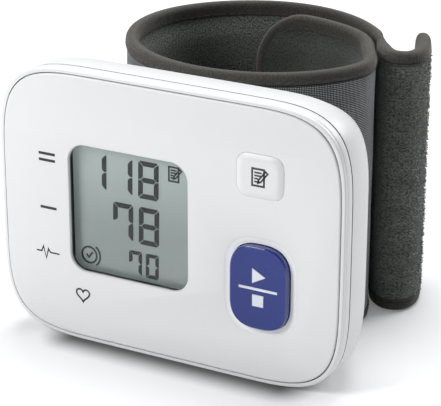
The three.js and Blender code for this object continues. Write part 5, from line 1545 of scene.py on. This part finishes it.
def make_floor(tone):
    """White floor, with a painted contact shadow close to the front edge on which the case stands"""
    shader = Shader("studio floor")
    shader.bump(shader.noise(900, detail=2.0), 0.03, 0.00005)
    seen, mirrored, through = [
        shader.node("LightPath", output=ray) for ray in ("Is Camera Ray", "Is Glossy Ray", "Is Transmission Ray")]
    x, y, _ = shader.place()
    # Painted shadow: darker close to the case's front edge, seen only by the camera
    beside = (x - CONTACT_RIGHT).most(CONTACT_LEFT - x).most(0)
    before = y - CONTACT_FRONT
    away = (beside * beside + before * before).power(0.5)
    shade = (1 - away.ramp(0, CONTACT_REACH)) * CONTACT_SHARE
    shader.set(Base_Color=shader.mix(shade * seen, tone, (0, 0, 0)), Roughness=0.85, Specular_IOR_Level=0.1)
    glow = seen.most(mirrored).most(through) * (1 - shade)
    shader.set(Emission_Color=shader.mix(glow, (0, 0, 0), (1, 1, 1)), Emission_Strength=FLOOR_GLOW)
    return shader.material


def make_stage(colours):
    """A floor that sweeps up into a backdrop, four soft lamps and the camera"""
    profile = [(y, 0.0) for y in FLOOR_FLAT]
    far = FLOOR_FLAT[-1]
    for i in range(1, 13):
        turn = i / 12 * math.pi / 2
        profile.append((far + SWEEP * math.sin(turn), SWEEP - SWEEP * math.cos(turn)))
    profile.append((far + SWEEP, BACKDROP_TOP))
    points = [(x, y, z) for y, z in profile for x in (-FLOOR_HALF, FLOOR_HALF)]
    faces = [(2 * i, 2 * i + 1, 2 * i + 3, 2 * i + 2) for i in range(len(profile) - 1)]
    floor = smooth(mesh_object("studio_floor", points, faces, make_floor(colours.floor)), math.radians(60))
    for name, (place, width, power, tone) in LAMPS.items():
        light = bpy.data.lights.new(name, "AREA")
        light.shape = "DISK"
        light.size = width
        light.energy = power
        light.color = tone
        lamp = bpy.data.objects.new(name, light)
        lamp.location = place
        lamp.rotation_euler = (LAMP_AIM - Vector(place)).to_track_quat("-Z", "Y").to_euler()
        bpy.context.scene.collection.objects.link(lamp)
    world = bpy.data.worlds.new("studio")
    world.use_nodes = True
    sky = world.node_tree.nodes["Background"]
    sky.inputs["Color"].default_value = SKY_COLOUR
    sky.inputs["Strength"].default_value = SKY_POWER
    bpy.context.scene.world = world
    make_camera()
    bpy.context.scene.view_settings.view_transform = "Standard"


CAMERA_PLACE = (0.18963, -0.33235, 0.18548)
CAMERA_TURN, CAMERA_DOWN, CAMERA_ROLL = 27.9609, 22.2467, 0.3083  # degrees
FOCAL_PIXELS, FRAME_PIXELS = 1903.35, (441, 406)
CENTRE_PIXELS = (236.417, 226.923)
SENSOR = 36  # millimetres


def make_camera():
    """A camera whose picture's middle is shifted from the way it looks"""
    turn, down, roll = (math.radians(a) for a in (CAMERA_TURN, CAMERA_DOWN, CAMERA_ROLL))
    back = Vector((math.sin(turn) * math.cos(down), -math.cos(turn) * math.cos(down), math.sin(down)))
    right = Vector((math.cos(turn), math.sin(turn), 0))
    up = back.cross(right)
    level_right = right * math.cos(roll) + up * math.sin(roll)
    level_up = up * math.cos(roll) - right * math.sin(roll)
    data = bpy.data.cameras.new("photo_camera")
    data.sensor_fit = "HORIZONTAL"
    data.sensor_width = SENSOR
    data.lens = SENSOR * FOCAL_PIXELS / FRAME_PIXELS[0]
    data.shift_x = (FRAME_PIXELS[0] / 2 - CENTRE_PIXELS[0]) / FRAME_PIXELS[0]
    data.shift_y = (CENTRE_PIXELS[1] - FRAME_PIXELS[1] / 2) / FRAME_PIXELS[0]
    data.clip_start = 0.01
    camera = bpy.data.objects.new("photo_camera", data)
    turned = Matrix((level_right, level_up, back)).transposed().to_4x4()
    camera.matrix_world = Matrix.Translation(CAMERA_PLACE) @ turned
    bpy.context.scene.collection.objects.link(camera)
    bpy.context.scene.camera = camera


# Operators: one for each piece or group of like pieces
class Step(bpy.types.Operator):
    """Shared by the steps below"""
    bl_options = {"REGISTER", "UNDO"}


class MONITOR_OT_case(Step):
    """Builds the face plate, the front and rear case and the battery cover"""
    bl_idname = "monitor.case"
    bl_label = "Case"

    def execute(self, context):
        case, buttons, cuff, colours = settings("case", "buttons", "cuff", "colours")
        face = tuple(colours.face)
        side = times(face, 0.985)
        start_x, start_z = start_place(case, buttons)
        # Painted light in the dish round the blue button
        border = (start_x, start_z, buttons.start_width / 2 + 2 * buttons.dish,
                  buttons.start_height / 2 + 2 * buttons.dish, -case.plate_front + 0.02 * MM)
        # Painted shade in the plate's openings, from 0.5 mm behind its front and deeper
        plate = make_face_plate(case, buttons, white_plastic(
            "white face", face, 0.38, depth=-case.plate_front + 0.5 * MM, border=border))
        finish_piece(plate, BODY, "white_face", "face_plate")
        # The rim and the back take painted shade in the groove of the parting line
        front = make_front_case(case, buttons, white_plastic("white rim", face, 0.34, seam=-case.seam_front))
        finish_piece(front, BODY, "white_case", "front_case")
        rear = make_rear_case(case, cuff, white_plastic("white back", side, 0.36, seam=-case.seam_front))
        finish_piece(rear, BODY, "white_case", "rear_case")
        cover = make_battery_cover(case, cuff, white_plastic("white cover", side, 0.36))
        finish_piece(cover, "battery_cover", "white_case", "battery_cover")
        return {"FINISHED"}


class MONITOR_OT_buttons(Step):
    """Builds the blue and the white button with their signs"""
    bl_idname = "monitor.buttons"
    bl_label = "Buttons"

    def execute(self, context):
        case, buttons, colours = settings("case", "buttons", "colours")
        front = -case.plate_front
        blue = blue_plastic(
            tuple(colours.blue), start_place(case, buttons), buttons.start_width / 2, buttons.start_height / 2)
        start = make_button(
            "start_button_smooth", lambda grow: start_outline(buttons, grow), start_place(case, buttons),
            front - buttons.start_proud, blue, CRISP_SHOULDER, dip=0.18 * MM)
        finish_piece(start, "start_button", "blue_button", "start_stop_button")
        memory = make_button(
            "memory_button_smooth", lambda grow: memory_outline(buttons, grow), memory_place(case, buttons),
            front - buttons.memory_proud, white_plastic("white button", tuple(colours.face), 0.34),
            PILLOW_SHOULDER)
        finish_piece(memory, "memory_button", "white_face", "memory_button")
        pale = plain("pale print", (0.76, 0.80, 0.90), 0.5)
        finish_piece(make_start_print(case, buttons, pale), "start_button", "white_face")
        grey = plain("grey print", (0.05, 0.052, 0.055), 0.5)
        finish_piece(make_memory_print(case, buttons, grey), "memory_button", "dark_plastic")
        return {"FINISHED"}


class MONITOR_OT_display(Step):
    """Shows the digits on the glass and prints the small signs on the face"""
    bl_idname = "monitor.display"
    bl_label = "Display"

    def execute(self, context):
        case, colours = settings("case", "colours")
        digits = make_digits(case, plain("digit black", tuple(colours.segment), 0.4))
        finish_piece(digits, BODY, "display")
        signs = make_face_print(case, plain("grey sign", tuple(colours.print_grey), 0.5))
        finish_piece(signs, BODY, "dark_plastic")
        return {"FINISHED"}


class MONITOR_OT_inner(Step):
    """Gives the inner pieces their finishes"""
    bl_idname = "monitor.inner"
    bl_label = "Inner pieces"

    def execute(self, context):
        case, colours = settings("case", "colours")
        middle = case.height / 2
        finishes = {
            clear_plastic(): ("display_lens",),
            # The display glass takes painted light from 6 mm below to 16 mm above the middle
            display_glass(tuple(colours.display), middle - 6 * MM, middle + 16 * MM): ("display_glass",),
            plain("black plastic", (0.02, 0.021, 0.022), 0.5): (
                "display_frame", "start_switch", "memory_switch", "buzzer", "pump_head", "air_manifold",
                "pressure_sensor"),
            plain("soft rubber", (0.56, 0.55, 0.5), 0.75): (
                "contact_strip_upper", "contact_strip_lower", "start_switch_plunger", "memory_switch_plunger",
                "air_tube", "air_nipple"),
            board_green(): ("circuit_board",),
            plain("bright steel", (0.62, 0.63, 0.65), 0.25, 1.0): (
                "pump_motor", "exhaust_valve", "case_screw_top_left", "case_screw_bottom_left",
                "case_screw_top_right", "case_screw_bottom_right", "board_screw_1", "board_screw_2",
                "battery_contact_upper_1", "battery_contact_lower_1", "battery_contact_upper_2",
                "battery_contact_lower_2", "battery_spring_1", "battery_spring_2", "cuff_screw_1", "cuff_screw_2",
                "cuff_screw_3"),
            battery_wrap(): ("battery_1", "battery_2"),
            plain("band plastic", (0.66, 0.66, 0.62), 0.5): ("cuff_curler",),
        }
        for material, names in finishes.items():
            for name in names:
                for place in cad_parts[name].material_slots:
                    place.link = "OBJECT"
                    place.material = material
        return {"FINISHED"}


class MONITOR_OT_cuff(Step):
    """Builds the rolled cuff: outer cloth, lining, bladder and edge tape"""
    bl_idname = "monitor.cuff"
    bl_label = "Cuff"

    def execute(self, context):
        cuff, colours = settings("cuff", "colours")
        # The outer cloth has painted shade in the crease beside each edge tape
        outer = make_outer_cloth(cuff, woven(
            "cuff cloth", tuple(colours.cloth), tuple(colours.sheen), pitch=0.74 * MM, slant=0.9, sheen=0.42,
            crease=cuff.binding + 0.2 * MM, height=cuff.height))
        finish_piece(outer, BODY, "cuff_cloth", "cuff_outer_cloth")
        # The lining has painted light from 70 mm along the strip, in full past 120 mm
        lining = make_lining(cuff, felt(
            "cuff lining", times(colours.lining, 0.8), times(colours.lining, 2.6), painted_light_span=(70 * MM, 120 * MM)))
        finish_piece(lining, BODY, "lining_cloth", "cuff_lining")
        bladder = make_bladder(cuff, plain("bladder film", (0.1, 0.095, 0.09), 0.55))
        finish_piece(bladder, BODY, "bladder_film", "air_bladder")
        tape = make_tape(
            "edge_tape", strip_plan(cuff), cuff, cuff.flap_corner,
            (-cuff.proud, cuff.thickness + cuff.proud - cuff.drawn), (cuff.binding, cuff.binding_inside), 520,
            tape_cloth("edge tape", tuple(colours.tape)), 41)
        finish_piece(tape, BODY, "binding_tape", "cuff_edge_binding")
        return {"FINISHED"}


class MONITOR_OT_tail(Step):
    """Builds the pull tail with its loop pile and edge tape"""
    bl_idname = "monitor.tail"
    bl_label = "Pull tail"

    def execute(self, context):
        cuff, colours = settings("cuff", "colours")
        lining = tuple(colours.lining)
        cloth = make_tail_cloth(cuff, felt("tail cloth", lining, times(lining, 5.0), curl=0.6))
        finish_piece(cloth, "pull_tail", "cuff_cloth", "pull_tail")
        pile = make_pile(cuff, yarn_loops("loop pile", times(lining, 1.5), (0.48, 0.48, 0.47)))
        finish_piece(pile, "pull_tail", "cuff_cloth")
        half = cuff.tail_thickness / 2 + cuff.proud
        # The tail's tape has painted shade along a crease that lies 0.75 mm short of the tape's reach
        ribbed = tape_cloth("tail tape", tuple(colours.tape), cuff.tail_binding - 0.75 * MM, cuff.height)
        tape = make_tape(
            "tail_tape", tail_plan(cuff), cuff, cuff.tail_corner, (-half, half),
            (cuff.tail_binding, cuff.tail_binding), 170, ribbed, 51)
        finish_piece(tape, "pull_tail", "binding_tape", "pull_tail_binding")
        return {"FINISHED"}


class MONITOR_OT_stitches(Step):
    """Sews the edge tapes with rows of stitches"""
    bl_idname = "monitor.stitches"
    bl_label = "Stitches"

    def execute(self, context):
        cuff, colours = settings("cuff", "colours")
        thread = thread_yarn("sewing thread", times(colours.tape, 1.5))
        plan, corner = strip_plan(cuff), cuff.flap_corner
        outer = -cuff.proud - STITCH_LIFT
        inner = cuff.thickness + cuff.proud - cuff.drawn + STITCH_LIFT
        lines = [
            stitch_line(plan, cuff, corner, depth, width - STITCH_INSET, 420)
            for depth, width in ((outer, cuff.binding), (inner, cuff.binding_inside))]
        finish_piece(stitched("cuff_stitches", lines, thread, 3), BODY, "binding_tape")
        plan, corner = tail_plan(cuff), cuff.tail_corner
        half = cuff.tail_thickness / 2 + cuff.proud + STITCH_LIFT
        width = cuff.tail_binding - TAIL_STITCH_INSET
        lines = [stitch_line(plan, cuff, corner, side, width, 150) for side in (-half, half)]
        finish_piece(stitched("tail_stitches", lines, thread, 7), "pull_tail", "binding_tape")
        return {"FINISHED"}


class MONITOR_OT_stage(Step):
    """Sets the floor, the lamps and the camera"""
    bl_idname = "monitor.stage"
    bl_label = "Stage"

    def execute(self, context):
        make_stage(*settings("colours"))
        return {"FINISHED"}


STEPS = (
    MONITOR_OT_stage, MONITOR_OT_case, MONITOR_OT_buttons, MONITOR_OT_display, MONITOR_OT_inner, MONITOR_OT_cuff,
    MONITOR_OT_tail, MONITOR_OT_stitches)
GROUPS = (
    ("monitor_case", MonitorCase), ("monitor_buttons", MonitorButtons), ("monitor_cuff", MonitorCuff),
    ("monitor_colours", MonitorColours))


class MONITOR_PT_panel(bpy.types.Panel):
    """Lists the steps and their sizes"""
    bl_idname = "MONITOR_PT_panel"
    bl_label = "Wrist monitor"
    bl_space_type = "VIEW_3D"
    bl_region_type = "UI"
    bl_category = "Monitor"

    def draw(self, context):
        for step in STEPS:
            self.layout.operator(step.bl_idname)
        for name, group in GROUPS:
            box = self.layout.box()
            for key in group.__annotations__:
                box.prop(getattr(context.scene, name), key)


def register():
    for name, group in GROUPS:
        bpy.utils.register_class(group)
        setattr(bpy.types.Scene, name, bpy.props.PointerProperty(type=group))
    for step in STEPS:
        bpy.utils.register_class(step)
    bpy.utils.register_class(MONITOR_PT_panel)


def unregister():
    bpy.utils.unregister_class(MONITOR_PT_panel)
    for step in reversed(STEPS):
        bpy.utils.unregister_class(step)
    for name, group in reversed(GROUPS):
        delattr(bpy.types.Scene, name)
        bpy.utils.unregister_class(group)


def main():
    register()
    bpy.ops.monitor.stage()
    bpy.ops.monitor.case()
    bpy.ops.monitor.buttons()
    bpy.ops.monitor.display()
    bpy.ops.monitor.inner()
    bpy.ops.monitor.cuff()
    bpy.ops.monitor.tail()
    bpy.ops.monitor.stitches()


if __name__ == "__main__":
    main()
